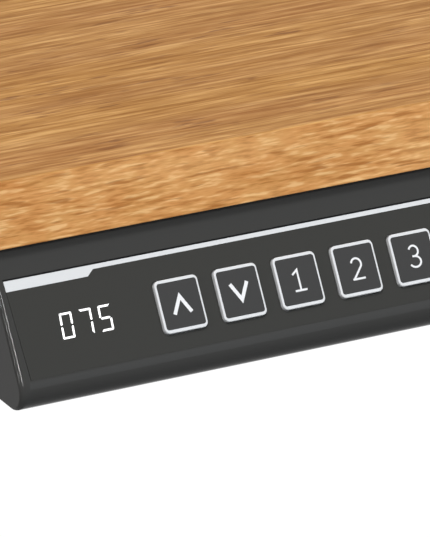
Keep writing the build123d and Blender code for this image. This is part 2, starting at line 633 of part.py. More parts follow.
for side, column_x in COLUMNS.items():
    with BuildPart() as lower_tube:
        with BuildSketch(column_plane(column_x, FOOT_TOP)):
            RectangleRounded(FOOT_WIDTH - 2 * PLATE_MARGIN, PLATE_Y, PLATE_MARGIN)
            with GridLocations(2 * PLATE_BOLT_X, 2 * PLATE_BOLT_Y, 2, 2):
                Circle(BOLT_RADIUS + FIT, mode=Mode.SUBTRACT)
        extrude(amount=PLATE_THICKNESS)
        with BuildSketch(column_plane(column_x, PLATE_TOP)):
            tube_section(TUBE_X, TUBE_Y, TUBE_RADIUS, TUBE_WALL)
        extrude(amount=LOWER_TOP - PLATE_TOP)
    save(lower_tube.part, f"{side}_lower_tube")

    # Plastic collar in the mouth of the lower tube, with a flange on its rim
    with BuildPart() as collar:
        collar_wall = TUBE_GAP - FIT - GLIDE_FIT
        with BuildSketch(column_plane(column_x, LOWER_TOP - COLLAR_DEPTH)):
            tube_section(
                TUBE_X - 2 * (TUBE_WALL + FIT),
                TUBE_Y - 2 * (TUBE_WALL + FIT),
                TUBE_RADIUS - TUBE_WALL - FIT,
                collar_wall,
            )
        extrude(amount=COLLAR_DEPTH)
        with BuildSketch(column_plane(column_x, LOWER_TOP)):
            tube_section(TUBE_X, TUBE_Y, TUBE_RADIUS, TUBE_WALL + FIT + collar_wall)
        extrude(amount=COLLAR_FLANGE)
        chamfer(collar.faces().sort_by(Axis.Z)[-1].outer_wire().edges(), COLLAR_FLANGE / 3)
    save(collar.part, f"{side}_collar")

    # Plastic slider round the bottom of the upper tube, with a lip under its end
    with BuildPart() as slider:
        slider_wall = TUBE_GAP - GLIDE_FIT - FIT
        with BuildSketch(column_plane(column_x, UPPER_BOTTOM)):
            tube_section(
                UPPER_X + 2 * (FIT + slider_wall),
                UPPER_Y + 2 * (FIT + slider_wall),
                UPPER_RADIUS + FIT + slider_wall,
                slider_wall,
            )
        extrude(amount=SLIDER_HEIGHT)
        with BuildSketch(column_plane(column_x, UPPER_BOTTOM)):
            tube_section(
                UPPER_X + 2 * (FIT + slider_wall),
                UPPER_Y + 2 * (FIT + slider_wall),
                UPPER_RADIUS + FIT + slider_wall,
                slider_wall + FIT + TUBE_WALL,
            )
        extrude(amount=-SLIDER_LIP)
    save(slider.part, f"{side}_slider")

    # Upper tube with the bent head bracket that bolts into the arm
    with BuildPart() as upper_tube:
        with BuildSketch(column_plane(column_x, UPPER_BOTTOM)):
            tube_section(UPPER_X, UPPER_Y, UPPER_RADIUS, TUBE_WALL)
        extrude(amount=COLUMN_TOP - UPPER_BOTTOM)
        with BuildSketch(column_plane(column_x, COLUMN_TOP)):
            Rectangle(HEAD_X, HEAD_DEPTH)
            Circle(SPINDLE_RADIUS + POST_ROOM, mode=Mode.SUBTRACT)
        extrude(amount=HEAD_PLATE)
        with BuildSketch(column_plane(column_x, CASE_BOTTOM)):
            with GridLocations(HEAD_X - HEAD_SHEET, 0, 2, 1):
                Rectangle(HEAD_SHEET, HEAD_DEPTH)
        extrude(amount=HEAD_FLANGE)
        with BuildSketch(Plane.YZ.offset(column_x)):
            with Locations((MID_Y, ROD_Z)):
                Circle(ROD_HOLE)
            with Locations(*HEAD_POINTS, *MOTOR_POINTS):
                Circle(BOLT_RADIUS + FIT)
        extrude(amount=HEAD_X, both=True, mode=Mode.SUBTRACT)
    save(upper_tube.part, f"{side}_upper_tube")

# Spindle nuts on posts that stand on the base plates
with BuildPart() as nut_posts:
    for column_x in COLUMNS.values():
        with BuildSketch(column_plane(column_x, PLATE_TOP)):
            Circle(POST_BORE + POST_WALL)
            Circle(POST_BORE, mode=Mode.SUBTRACT)
        extrude(amount=POST_TOP - PLATE_TOP)
save(nut_posts.part, "nut_posts")

with BuildPart() as spindle_nuts:
    for column_x in COLUMNS.values():
        with BuildSketch(column_plane(column_x, POST_TOP)):
            Circle(NUT_RADIUS)
            Circle(SPINDLE_RADIUS + NUT_FIT, mode=Mode.SUBTRACT)
        extrude(amount=NUT_HEIGHT)
        with BuildSketch(column_plane(column_x, POST_TOP)):
            Circle(POST_BORE - FIT)
            Circle(SPINDLE_RADIUS + NUT_FIT, mode=Mode.SUBTRACT)
        extrude(amount=-NUT_SPIGOT)
save(spindle_nuts.part, "spindle_nuts")


# Mitre gears: straight teeth that all point at the apex where the two axes meet
def tooth_outline(reach, phase):
    """Points of the toothed outline on a plane square to the axis, reach away from the apex."""
    scale = reach / GEAR_RADIUS
    pitch = 2 * pi / GEAR_TEETH
    flank = (
        (GEAR_ROOT, -radians(GEAR_ROOT_HALF)),
        (GEAR_TIP, -radians(GEAR_TIP_HALF)),
        (GEAR_TIP, radians(GEAR_TIP_HALF)),
        (GEAR_ROOT, radians(GEAR_ROOT_HALF)),
    )
    corners = [
        (scale * radius, (tooth + phase) * pitch + turn) for tooth in range(GEAR_TEETH) for radius, turn in flank
    ]
    return [(radius * cos(angle), radius * sin(angle)) for radius, angle in corners]


def mitre_gear(apex, phase, hub):
    """Gear whose axis leaves the apex along the plane's normal, with a hub behind its teeth."""
    with BuildPart() as gear:
        for reach in (GEAR_RADIUS - GEAR_FACE, GEAR_RADIUS):
            with BuildSketch(apex.offset(reach)):
                with BuildLine():
                    Polyline(*tooth_outline(reach, phase), close=True)
                make_face()
        loft(ruled=True)
        with BuildSketch(apex.offset(GEAR_RADIUS)):
            Circle(GEAR_HUB_RADIUS)
        extrude(amount=hub)
    return gear.part


for side, column_x in COLUMNS.items():
    with BuildPart() as spindle:
        with BuildSketch(column_plane(column_x, SPINDLE_BOTTOM)):
            Circle(SPINDLE_RADIUS)
        extrude(amount=BEARING_BOTTOM - RUN_GAP - SPINDLE_BOTTOM)
        chamfer(spindle.faces().sort_by(Axis.Z)[0].edges(), SPINDLE_RADIUS / 8)
        with BuildSketch(column_plane(column_x, BEARING_BOTTOM - RUN_GAP)):
            Circle(JOURNAL_RADIUS)
        extrude(amount=ROD_Z - GEAR_RADIUS + GEAR_FACE - BEARING_BOTTOM + RUN_GAP)
    save(spindle.part, f"{side}_spindle")

    wheel = mitre_gear(Plane((column_x, MID_Y, ROD_Z), (1, 0, 0), (0, 0, -1)), 0, GEAR_HUB)
    with BuildPart() as spindle_gear:
        add(wheel)
        with BuildSketch(column_plane(column_x, ROD_Z)):
            Circle(JOURNAL_RADIUS + PILOT_FIT)
        extrude(amount=-GEAR_RADIUS - GEAR_HUB, mode=Mode.SUBTRACT)
    save(spindle_gear.part, f"{side}_spindle_gear")

# Sealed bearings that carry the spindles in the gear cases
with BuildPart() as spindle_bearings:
    for column_x in COLUMNS.values():
        with BuildSketch(column_plane(column_x, BEARING_BOTTOM)):
            Circle(BEARING_RADIUS)
            Circle(JOURNAL_RADIUS + PILOT_FIT, mode=Mode.SUBTRACT)
        extrude(amount=BEARING_WIDTH)
        for face_z, dish in ((BEARING_BOTTOM, BEARING_DISH), (BEARING_TOP, -BEARING_DISH)):
            with BuildSketch(column_plane(column_x, face_z)):
                Circle(BEARING_RADIUS - BEARING_RING)
                Circle(JOURNAL_RADIUS + BEARING_RING, mode=Mode.SUBTRACT)
            extrude(amount=dish, mode=Mode.SUBTRACT)
save(spindle_bearings.part, "spindle_bearings")

# Gear cases: cast cups with a bearing seat in the floor and bores for the rod and the pinion hub
for side, column_x in COLUMNS.items():
    with BuildPart() as gear_case:
        with BuildSketch(column_plane(column_x, CASE_BOTTOM)):
            RectangleRounded(CASE_X, CASE_Y, CASE_RADIUS)
        extrude(amount=CASE_TOP - CASE_WALL - CASE_BOTTOM)
        with BuildSketch(column_plane(column_x, BEARING_TOP)):
            RectangleRounded(CASE_X - 2 * CASE_WALL, CASE_Y - 2 * CASE_WALL, CASE_RADIUS / 2)
        extrude(amount=CASE_TOP - BEARING_TOP, mode=Mode.SUBTRACT)
        with BuildSketch(column_plane(column_x, BEARING_TOP)):
            Circle(BEARING_RADIUS + PILOT_FIT)
        extrude(amount=-BEARING_WIDTH, mode=Mode.SUBTRACT)
        with BuildSketch(column_plane(column_x, BEARING_BOTTOM)):
            Circle(BEARING_RADIUS - BEARING_RING / 2)
        extrude(amount=-CASE_LIP, mode=Mode.SUBTRACT)
        with BuildSketch(Plane.YZ.offset(column_x)):
            with Locations((MID_Y, ROD_Z)):
                Circle(GEAR_HUB_RADIUS + PILOT_FIT)
        extrude(amount=CASE_X, mode=Mode.SUBTRACT)
        with BuildSketch(Plane.YZ.offset(column_x)):
            with Locations((MID_Y, ROD_Z)):
                Circle(ROD_CORNER + FIT)
        extrude(amount=-CASE_X, mode=Mode.SUBTRACT)
    save(gear_case.part, f"{side}_gear_case")

with BuildPart() as gear_case_lids:
    for column_x in COLUMNS.values():
        with BuildSketch(column_plane(column_x, CASE_TOP - CASE_WALL)):
            RectangleRounded(CASE_X, CASE_Y, CASE_RADIUS)
        extrude(amount=CASE_WALL)
save(gear_case_lids.part, "gear_case_lids")

# Drive rod with a pinion on the +X side of each spindle, so both spindles turn the same way
ROD_START = -COLUMN_X + GEAR_RADIUS - GEAR_FACE
ROD_END = COLUMN_X + GEAR_RADIUS + PINION_HUB
with BuildPart() as drive_rod:
    with BuildSketch(Plane.YZ.offset(ROD_START)):
        with Locations((MID_Y, ROD_Z)):
            RegularPolygon(ROD_FLATS / 2, 6, major_radius=False)
    extrude(amount=ROD_END - ROD_START)
save(drive_rod.part, "drive_rod")

with BuildPart() as rod_bore:
    with BuildSketch(Plane.YZ.offset(ROD_START)):
        with Locations((MID_Y, ROD_Z)):
            RegularPolygon(ROD_FLATS / 2 + ROD_FIT, 6, major_radius=False)
    extrude(amount=ROD_END - ROD_START)

pinions = [
    mitre_gear(Plane((column_x, MID_Y, ROD_Z), (0, 0, -1), (1, 0, 0)), 0.5, PINION_HUB)
    for column_x in COLUMNS.values()
]
with BuildPart() as drive_pinions:
    add(pinions)
    add(rod_bore.part, mode=Mode.SUBTRACT)
save(drive_pinions.part, "drive_pinions")

with BuildPart() as drive_sleeve:
    with BuildSketch(Plane.YZ.offset(GEARBOX_X)):
        with Locations((MID_Y, ROD_Z)):
            Circle(SLEEVE_RADIUS)
    extrude(amount=GEARBOX_LENGTH)
    add(rod_bore.part, mode=Mode.SUBTRACT)
save(drive_sleeve.part, "drive_sleeve")

# Worm gearbox on the inner side of the left arm, with the motor behind it
MOTOR_FRONT_Y = MID_Y + WORM_LENGTH / 2
with BuildPart() as motor_gearbox:
    with BuildSketch(Plane.YZ.offset(GEARBOX_X)):
        with Locations((MID_Y, ROD_Z)):
            Circle(WHEEL_RADIUS)
    extrude(amount=GEARBOX_LENGTH)
    with BuildSketch(Plane.XZ.offset(-MOTOR_FRONT_Y)):
        with Locations((GEARBOX_X + GEARBOX_LENGTH / 2, WORM_Z)):
            Circle(WORM_RADIUS)
    extrude(amount=WORM_LENGTH)
    with BuildSketch(Plane.XZ.offset(-MOTOR_FRONT_Y)):
        with Locations((GEARBOX_X + GEARBOX_LENGTH / 2, WORM_Z)):
            Circle(MOTOR_RADIUS)
    extrude(amount=MOTOR_FLANGE)
    with BuildSketch(Plane.YZ.offset(GEARBOX_X)):
        with Locations((MID_Y, ROD_Z)):
            SlotOverall(2 * MOTOR_BOLT_Y + GEARBOX_EAR_HEIGHT, GEARBOX_EAR_HEIGHT)
    extrude(amount=GEARBOX_EAR)
    with BuildSketch(Plane.YZ.offset(GEARBOX_X)):
        with Locations((MID_Y, ROD_Z)):
            Circle(SLEEVE_RADIUS + RUN_GAP)
        with Locations(*MOTOR_POINTS):
            Circle(BOLT_RADIUS + FIT)
    extrude(amount=GEARBOX_LENGTH, mode=Mode.SUBTRACT)
save(motor_gearbox.part, "motor_gearbox")

with BuildPart() as drive_motor:
    with BuildSketch(Plane.XZ.offset(-MOTOR_FRONT_Y)):
        with Locations((GEARBOX_X + GEARBOX_LENGTH / 2, WORM_Z)):
            Circle(MOTOR_RADIUS)
    extrude(amount=-MOTOR_LENGTH)
    fillet(drive_motor.faces().sort_by(Axis.Y)[-1].edges(), MOTOR_EDGE)
    with BuildSketch(Plane.XZ.offset(-MOTOR_FRONT_Y - MOTOR_LENGTH)):
        with Locations((GEARBOX_X + GEARBOX_LENGTH / 2, WORM_Z)):
            Circle(MOTOR_CAP_RADIUS)
    extrude(amount=-MOTOR_CAP)
    fillet(drive_motor.faces().sort_by(Axis.Y)[-1].edges(), MOTOR_EDGE)
save(drive_motor.part, "drive_motor")

# Arms: deep at the column head, tapered to both ends, open below
ARM_BOTTOM = COLUMN_TOP
for side, column_x in COLUMNS.items():
    with BuildPart() as arm:
        with BuildSketch(Plane.YZ.offset(column_x)):
            with BuildLine():
                Polyline(
                    (MID_Y - ARM_LENGTH / 2, UNDERSIDE),
                    (MID_Y - ARM_LENGTH / 2, UNDERSIDE - ARM_TIP),
                    (MID_Y - ARM_DEEP_Y / 2, ARM_BOTTOM),
                    (MID_Y + ARM_DEEP_Y / 2, ARM_BOTTOM),
                    (MID_Y + ARM_LENGTH / 2, UNDERSIDE - ARM_TIP),
                    (MID_Y + ARM_LENGTH / 2, UNDERSIDE),
                    close=True,
                )
            make_face()
        extrude(amount=ARM_X / 2, both=True)
        with BuildSketch(column_plane(column_x, UNDERSIDE - ARM_SHEET)):
            Rectangle(ARM_X - 2 * ARM_SHEET, ARM_LENGTH - 2 * ARM_SHEET)
        extrude(amount=ARM_BOTTOM - UNDERSIDE, mode=Mode.SUBTRACT)
        with BuildSketch(column_plane(column_x, UNDERSIDE)):
            with Locations(*[(0, y) for y in ARM_SCREW_YS]):
                SlotOverall(ARM_SLOT, 2 * (SCREW_RADIUS + FIT), rotation=90)
        extrude(amount=-ARM_SHEET, mode=Mode.SUBTRACT)
        with BuildSketch(Plane.YZ.offset(column_x)):
            with Locations((MID_Y, ROD_Z)):
                Circle(ROD_HOLE)
            with Locations(*HEAD_POINTS, *MOTOR_POINTS, *RAIL_POINTS):
                Circle(BOLT_RADIUS + FIT)
        extrude(amount=ARM_X, both=True, mode=Mode.SUBTRACT)
    save(arm.part, f"{side}_arm")

# Rails: a middle tube over two end tubes, so the frame's width can be set when it is put together
RAIL_FACE_X = COLUMN_X - ARM_X / 2
END_HEIGHT = RAIL_HEIGHT - 2 * (RAIL_WALL + RAIL_FIT)
END_WIDTH = RAIL_WIDTH - 2 * (RAIL_WALL + RAIL_FIT)
LOCK_X = RAIL_LENGTH / 2 - LOCK_SCREW_INSET
for rail, rail_y in (("front", MID_Y - RAIL_Y), ("rear", MID_Y + RAIL_Y)):
    with BuildPart() as middle_rail:
        with BuildSketch(Plane.YZ):
            with Locations((rail_y, RAIL_Z)):
                tube_section(RAIL_WIDTH, RAIL_HEIGHT, RAIL_RADIUS, RAIL_WALL)
        extrude(amount=RAIL_LENGTH / 2, both=True)
        with BuildSketch(Plane.XY.offset(UNDERSIDE - RAIL_HEIGHT)):
            with Locations((-LOCK_X, rail_y), (LOCK_X, rail_y)):
                Circle(BOLT_RADIUS + FIT)
        extrude(amount=RAIL_WALL, mode=Mode.SUBTRACT)
    save(middle_rail.part, f"{rail}_rail")

for side, turn in (("left", -1), ("right", 1)):
    with BuildPart() as rail_ends:
        for rail_y in (MID_Y - RAIL_Y, MID_Y + RAIL_Y):
            with BuildSketch(Plane.YZ.offset(turn * RAIL_FACE_X)):
                with Locations((rail_y, RAIL_Z)):
                    Rectangle(RAIL_PLATE_WIDTH, RAIL_HEIGHT)
                    with GridLocations(2 * RAIL_BOLT_Y, 0, 2, 1):
                        Circle(BOLT_RADIUS + FIT, mode=Mode.SUBTRACT)
            extrude(amount=-turn * RAIL_PLATE)
            with BuildSketch(Plane.YZ.offset(turn * (RAIL_FACE_X - RAIL_PLATE))):
                with Locations((rail_y, RAIL_Z)):
                    tube_section(END_WIDTH, END_HEIGHT, RAIL_RADIUS - RAIL_FIT, RAIL_WALL)
            extrude(amount=-turn * (RAIL_FACE_X - RAIL_PLATE - RAIL_LENGTH / 2 + RAIL_INSERT))
    save(rail_ends.part, f"{side}_rail_ends")

with BuildPart() as rail_lock_screws:
    lock_points = [(i * LOCK_X, MID_Y + j * RAIL_Y) for i in (-1, 1) for j in (-1, 1)]
    with BuildSketch(Plane.XY.offset(UNDERSIDE - RAIL_HEIGHT)):
        with Locations(*lock_points):
            Circle(BOLT_RADIUS)
    extrude(amount=RAIL_WALL + RAIL_FIT)
    with BuildSketch(Plane.XY.offset(UNDERSIDE - RAIL_HEIGHT)):
        with Locations(*lock_points):
            RegularPolygon(BOLT_HEAD_RADIUS, 6)
    extrude(amount=-BOLT_HEAD)
save(rail_lock_screws.part, "rail_lock_screws")


def cross_bolts(points, head_x, turn, grip):
    """Bolts along X with their heads at head_x, shanks that point in the direction turn, and nuts."""
    with BuildPart() as bolts:
        with BuildSketch(Plane.YZ.offset(head_x)):
            with Locations(*points):
                RegularPolygon(BOLT_HEAD_RADIUS, 6)
        extrude(amount=-turn * BOLT_HEAD)
        with BuildSketch(Plane.YZ.offset(head_x)):
            with Locations(*points):
                Circle(BOLT_RADIUS)
        extrude(amount=turn * grip)
        with BuildSketch(Plane.YZ.offset(head_x + turn * grip)):
            with Locations(*points):
                RegularPolygon(BOLT_HEAD_RADIUS, 6)
        extrude(amount=turn * BOLT_NUT)
    return bolts.part


HEAD_GRIP = ARM_SHEET + FIT + HEAD_SHEET
bolt_sets = [
    cross_bolts(HEAD_POINTS, column_x - turn * ARM_X / 2, turn, HEAD_GRIP)
    for column_x in COLUMNS.values()
    for turn in (-1, 1)
]
bolt_sets += [
    cross_bolts(RAIL_POINTS, turn * (RAIL_FACE_X - RAIL_PLATE), turn, RAIL_PLATE + ARM_SHEET)
    for turn in (-1, 1)
]
with BuildPart() as frame_bolts:
    add(bolt_sets)
save(frame_bolts.part, "frame_bolts")

save(cross_bolts(MOTOR_POINTS, GEARBOX_X + GEARBOX_EAR, -1, GEARBOX_EAR + HEAD_GRIP), "motor_bolts")

# Control box: a base plate with tabs, a cover with vents, a board on posts, and sockets in the ends
CONTROL_PLANE = Plane((CONTROL_X, CONTROL_Y, UNDERSIDE))
COVER_TOP = UNDERSIDE - TAB_THICKNESS
CONTROL_BOARD_Z = COVER_TOP - CONTROL_BOARD_DROP
CONTROL_BOARD_X = CONTROL_LENGTH - 2 * (MAINS_DEPTH + SOCKET_WALL + CONTROL_BOARD_MARGIN)
CONTROL_BOARD_Y = CONTROL_DEPTH - 2 * (CONTROL_WALL + CONTROL_BOARD_MARGIN)
with BuildPart() as control_box_base:
    with BuildSketch(CONTROL_PLANE):
        Rectangle(CONTROL_LENGTH, CONTROL_DEPTH)
        with GridLocations(2 * TAB_X, 2 * CONTROL_TAB_Y, 2, 2):
            RectangleRounded(CONTROL_TAB + 2 * CONTROL_RADIUS, CONTROL_TAB, CONTROL_RADIUS)
            Circle(SCREW_RADIUS + FIT, mode=Mode.SUBTRACT)
    extrude(amount=-TAB_THICKNESS)
    with BuildSketch(CONTROL_PLANE.offset(-TAB_THICKNESS)):
        with GridLocations(CONTROL_BOARD_X - 4 * POST_RADIUS, CONTROL_BOARD_Y - 4 * POST_RADIUS, 2, 2):
            Circle(2 * POST_RADIUS)
    extrude(amount=-CONTROL_BOARD_DROP)
save(control_box_base.part, "control_box_base")

with BuildPart() as control_board:
    with BuildSketch(Plane((CONTROL_X, CONTROL_Y, CONTROL_BOARD_Z))):
        Rectangle(CONTROL_BOARD_X, CONTROL_BOARD_Y)
    extrude(amount=-BOARD_THICKNESS)
save(control_board.part, "control_board")


def socket_block(plane, length, height, depth):
    """Socket block with its open mouth on the plane, built along the plane's normal."""
    with BuildPart() as block:
        with BuildSketch(plane):
            Rectangle(length + 2 * SOCKET_WALL, height + 2 * SOCKET_WALL)
        extrude(amount=depth + SOCKET_WALL)
        with BuildSketch(plane):
            Rectangle(length, height)
        extrude(amount=depth, mode=Mode.SUBTRACT)
    return block.part


SOCKET_Z = (COVER_TOP + CONTROL_BOTTOM) / 2
MAINS_MOUTH = Plane((CONTROL_X + CONTROL_LENGTH / 2, CONTROL_Y, SOCKET_Z), (0, 1, 0), (-1, 0, 0))
SIGNAL_MOUTHS = [
    Plane((CONTROL_X - CONTROL_LENGTH / 2, CONTROL_Y + j * SIGNAL_LENGTH, SOCKET_Z), (0, 1, 0), (1, 0, 0))
    for j in (-1, 1)
]
mains_block = socket_block(MAINS_MOUTH, MAINS_LENGTH, MAINS_HEIGHT, MAINS_DEPTH)
with BuildPart() as mains_inlet:
    add(mains_block)
    with BuildSketch(MAINS_MOUTH.offset(MAINS_DEPTH)):
        with Locations((-MAINS_PIN_PITCH, 0), (0, MAINS_PIN), (MAINS_PIN_PITCH, 0)):
            Rectangle(MAINS_PIN, 2 * MAINS_PIN)
    extrude(amount=-MAINS_DEPTH + MAINS_PIN)
save(mains_inlet.part, "mains_inlet")

signal_blocks = [socket_block(mouth, SIGNAL_LENGTH, SIGNAL_HEIGHT, SIGNAL_DEPTH) for mouth in SIGNAL_MOUTHS]
with BuildPart() as control_sockets:
    add(signal_blocks)
save(control_sockets.part, "control_sockets")

HANDSET_MOUTH = Plane(
    (HANDSET_X, FRONT_Y + HANDSET_BACK, UNDERSIDE - SIGNAL_DROP - SIGNAL_HEIGHT / 2), (-1, 0, 0), (0, -1, 0)
)
save(socket_block(HANDSET_MOUTH, SIGNAL_LENGTH, SIGNAL_HEIGHT, SIGNAL_DEPTH), "handset_socket")

with BuildPart() as control_box_cover:
    with BuildSketch(Plane((CONTROL_X, CONTROL_Y, COVER_TOP))):
        RectangleRounded(CONTROL_LENGTH, CONTROL_DEPTH, CONTROL_RADIUS)
    extrude(amount=CONTROL_BOTTOM - COVER_TOP)
    fillet(control_box_cover.faces().sort_by(Axis.Z)[0].edges(), CONTROL_RADIUS / 2)
    with BuildSketch(Plane((CONTROL_X, CONTROL_Y, COVER_TOP))):
        Rectangle(CONTROL_LENGTH - 2 * CONTROL_WALL, CONTROL_DEPTH - 2 * CONTROL_WALL)
    extrude(amount=CONTROL_BOTTOM + CONTROL_WALL - COVER_TOP, mode=Mode.SUBTRACT)
    for mouth, length, height in (
        (MAINS_MOUTH, MAINS_LENGTH, MAINS_HEIGHT),
        (SIGNAL_MOUTHS[0], SIGNAL_LENGTH, SIGNAL_HEIGHT),
        (SIGNAL_MOUTHS[1], SIGNAL_LENGTH, SIGNAL_HEIGHT),
    ):
        with BuildSketch(mouth):
            Rectangle(length + 2 * (SOCKET_WALL + FIT), height + 2 * (SOCKET_WALL + FIT))
        extrude(amount=CONTROL_WALL, mode=Mode.SUBTRACT)
    with BuildSketch(Plane.XZ.offset(-CONTROL_Y)):
        with Locations((CONTROL_X, SOCKET_Z)):
            with GridLocations(VENT_PITCH, 0, VENT_COUNT, 1):
                SlotOverall(VENT_LENGTH, VENT_WIDTH, rotation=90)
    extrude(amount=CONTROL_DEPTH, both=True, mode=Mode.SUBTRACT)
save(control_box_cover.part, "control_box_cover")
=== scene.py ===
# %% [markdown]
# # A height adjustable desk, dressed in Blender
# The desk arrives as a fixed frame of solids at their real places: a wood-look top, two telescopic columns,
# the drive under the top and a hand switch under the front edge. This lesson gives every surface its finish,
# models the small pieces that the frame leaves out, such as the signs on the keys, and lights the desk as in
# a studio. Everything is in metres, in the frame's own coordinates, so no piece has to be fitted by eye.

# %% Load the frame
import json
from math import ceil, cos, radians, sin

import bpy
from mathutils import Matrix, Vector


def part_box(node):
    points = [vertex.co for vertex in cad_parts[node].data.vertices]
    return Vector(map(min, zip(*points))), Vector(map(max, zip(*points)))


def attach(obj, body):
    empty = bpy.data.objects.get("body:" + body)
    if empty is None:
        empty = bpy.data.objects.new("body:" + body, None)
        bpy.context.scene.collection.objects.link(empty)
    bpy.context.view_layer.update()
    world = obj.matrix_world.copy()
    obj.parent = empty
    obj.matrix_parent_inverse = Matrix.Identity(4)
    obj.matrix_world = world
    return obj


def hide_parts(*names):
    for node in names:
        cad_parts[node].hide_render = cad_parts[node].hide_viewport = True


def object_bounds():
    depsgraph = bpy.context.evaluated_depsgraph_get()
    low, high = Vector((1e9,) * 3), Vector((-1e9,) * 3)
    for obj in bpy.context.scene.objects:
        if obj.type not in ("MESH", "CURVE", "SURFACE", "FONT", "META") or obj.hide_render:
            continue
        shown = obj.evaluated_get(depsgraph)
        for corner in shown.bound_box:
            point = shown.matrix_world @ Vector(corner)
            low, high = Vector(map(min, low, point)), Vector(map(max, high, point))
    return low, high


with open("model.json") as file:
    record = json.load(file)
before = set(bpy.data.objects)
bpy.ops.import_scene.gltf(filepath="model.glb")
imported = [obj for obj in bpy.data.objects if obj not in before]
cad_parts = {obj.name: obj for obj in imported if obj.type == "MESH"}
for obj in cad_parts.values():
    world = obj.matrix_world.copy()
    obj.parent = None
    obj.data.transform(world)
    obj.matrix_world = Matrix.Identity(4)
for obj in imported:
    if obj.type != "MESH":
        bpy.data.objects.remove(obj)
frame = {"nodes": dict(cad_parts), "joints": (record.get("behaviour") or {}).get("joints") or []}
nodes = frame["nodes"]
cad_low, cad_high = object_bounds()
MM = 0.001

# %% [markdown]
# ## Camera
# The picture is a close view of the front edge, taken from the left, from above and with a long lens. The
# camera could be aimed by hand, but its place was worked out from the straight edges in the picture, so it is
# given here as an offset from the point where the hand switch's left end meets the front edge.

# %% Place the camera
VIEW_TURN = radians(-28.0)
VIEW_RISE = radians(21.93)
LENS_MM = 370.1
CAMERA_OFFSET = Vector((-538.15, -1127.8, 498.4)) * MM

shell_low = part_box("handset_shell")[0]
band_low, band_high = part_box("edge_banding")
underside = band_low.z
switch_corner = Vector((shell_low.x, band_low.y, underside))
camera_back = Vector((sin(VIEW_TURN) * cos(VIEW_RISE), -cos(VIEW_TURN) * cos(VIEW_RISE), sin(VIEW_RISE)))
camera_data = bpy.data.cameras.new("camera")
camera_data.lens = LENS_MM
camera = bpy.data.objects.new("camera", camera_data)
camera.location = switch_corner + CAMERA_OFFSET
camera.rotation_euler = (-camera_back).to_track_quat("-Z", "Y").to_euler()
bpy.context.scene.collection.objects.link(camera)
bpy.context.scene.camera = camera
print("camera at", camera.location[:])

# %% [markdown]
# ## Tools for finishes
# A finish is a material made of nodes. Each one starts from a Principled shader, and patterns are read from
# Object coordinates, so they keep their real size and stay with the piece when it moves. A few small helpers
# keep the finishes short. The first ones start a finish and add its nodes. The next ones stretch a noise
# along a direction, turn a pattern into colours or values, blend two colours, and raise the surface by a
# pattern.

# %% Helpers for nodes
SRGB_STEP = 0.04045
SRGB_SLOPE = 12.92
SRGB_OFFSET = 0.055
SRGB_POWER = 2.4
WHITE = (1.0, 1.0, 1.0, 1.0)


def tone(red, green, blue):
    """A colour as it is seen on a screen, 0 to 255, as the shader's linear colour."""
    shares = [value / 255 for value in (red, green, blue)]
    curve = [((share + SRGB_OFFSET) / (1 + SRGB_OFFSET)) ** SRGB_POWER for share in shares]
    linear = [share / SRGB_SLOPE if share <= SRGB_STEP else bent for share, bent in zip(shares, curve)]
    return (*linear, 1.0)


def start_finish(name, colour, roughness, **sockets):
    """A new material with a Principled shader: returns the material, its tree and the shader."""
    finish = bpy.data.materials.new(name)
    finish.use_nodes = True
    shader = finish.node_tree.nodes["Principled BSDF"]
    shader.inputs["Base Color"].default_value = colour
    shader.inputs["Roughness"].default_value = roughness
    for socket, value in sockets.items():
        shader.inputs[socket.replace("_", " ")].default_value = value
    return finish, finish.node_tree, shader


def add_node(tree, kind, inputs=None, **settings):
    """Add a shader node, set its settings, and set or link its inputs."""
    node = tree.nodes.new("ShaderNode" + kind)
    for setting, value in settings.items():
        setattr(node, setting, value)
    for socket, value in (inputs or {}).items():
        if isinstance(value, bpy.types.NodeSocket):
            tree.links.new(value, node.inputs[socket])
        else:
            node.inputs[socket].default_value = value
    return node


def worked_out(tree, operation, first, second):
    """One value worked out from two, such as their sum or product."""
    return add_node(tree, "Math", {0: first, 1: second}, operation=operation).outputs["Value"]


def object_place(tree):
    """Where a point is on the piece, in metres."""
    return add_node(tree, "TexCoord").outputs["Object"]


def dress(finish, *names):
    """Give CAD nodes a finish."""
    for name in names:
        nodes[name].data.materials.clear()
        nodes[name].data.materials.append(finish)


print("a mid grey is", tone(128, 128, 128)[0], "of white")

# %% Helpers for patterns
MIX_SHARE, MIX_FIRST, MIX_SECOND = 0, 6, 7
MIX_RESULT = 2


def stretched_noise(tree, place, per_metre, detail=3.0, roughness=0.6):
    """Noise with its own number of features per metre along each axis."""
    mapping = add_node(tree, "Mapping", {"Vector": place, "Scale": per_metre})
    settings = {"Vector": mapping.outputs["Vector"], "Scale": 1.0, "Detail": detail, "Roughness": roughness}
    return add_node(tree, "TexNoise", settings).outputs["Fac"]


def bent_place(tree, place, waves_per_metre, sway):
    """A place pushed sideways by a slow noise, so that straight grain wanders."""
    slow = stretched_noise(tree, place, waves_per_metre, detail=1.0)
    offset = worked_out(tree, "MULTIPLY", slow, sway)
    push = add_node(tree, "CombineXYZ", {"Y": offset, "Z": offset}).outputs["Vector"]
    return add_node(tree, "VectorMath", {0: place, 1: push}, operation="ADD").outputs["Vector"]


def colour_steps(tree, pattern, steps):
    """Colours along a pattern's value: steps are pairs of value and colour."""
    ramp = add_node(tree, "ValToRGB", {"Fac": pattern})
    points = ramp.color_ramp.elements
    while len(points) < len(steps):
        points.new(0.5)
    for point, (value, colour) in zip(points, steps):
        point.position = value
        point.color = colour
    return ramp.outputs["Color"]


def grey_steps(tree, pattern, *steps):
    """A pattern's values bent into other values."""
    return colour_steps(tree, pattern, [(at, (value, value, value, 1.0)) for at, value in steps])


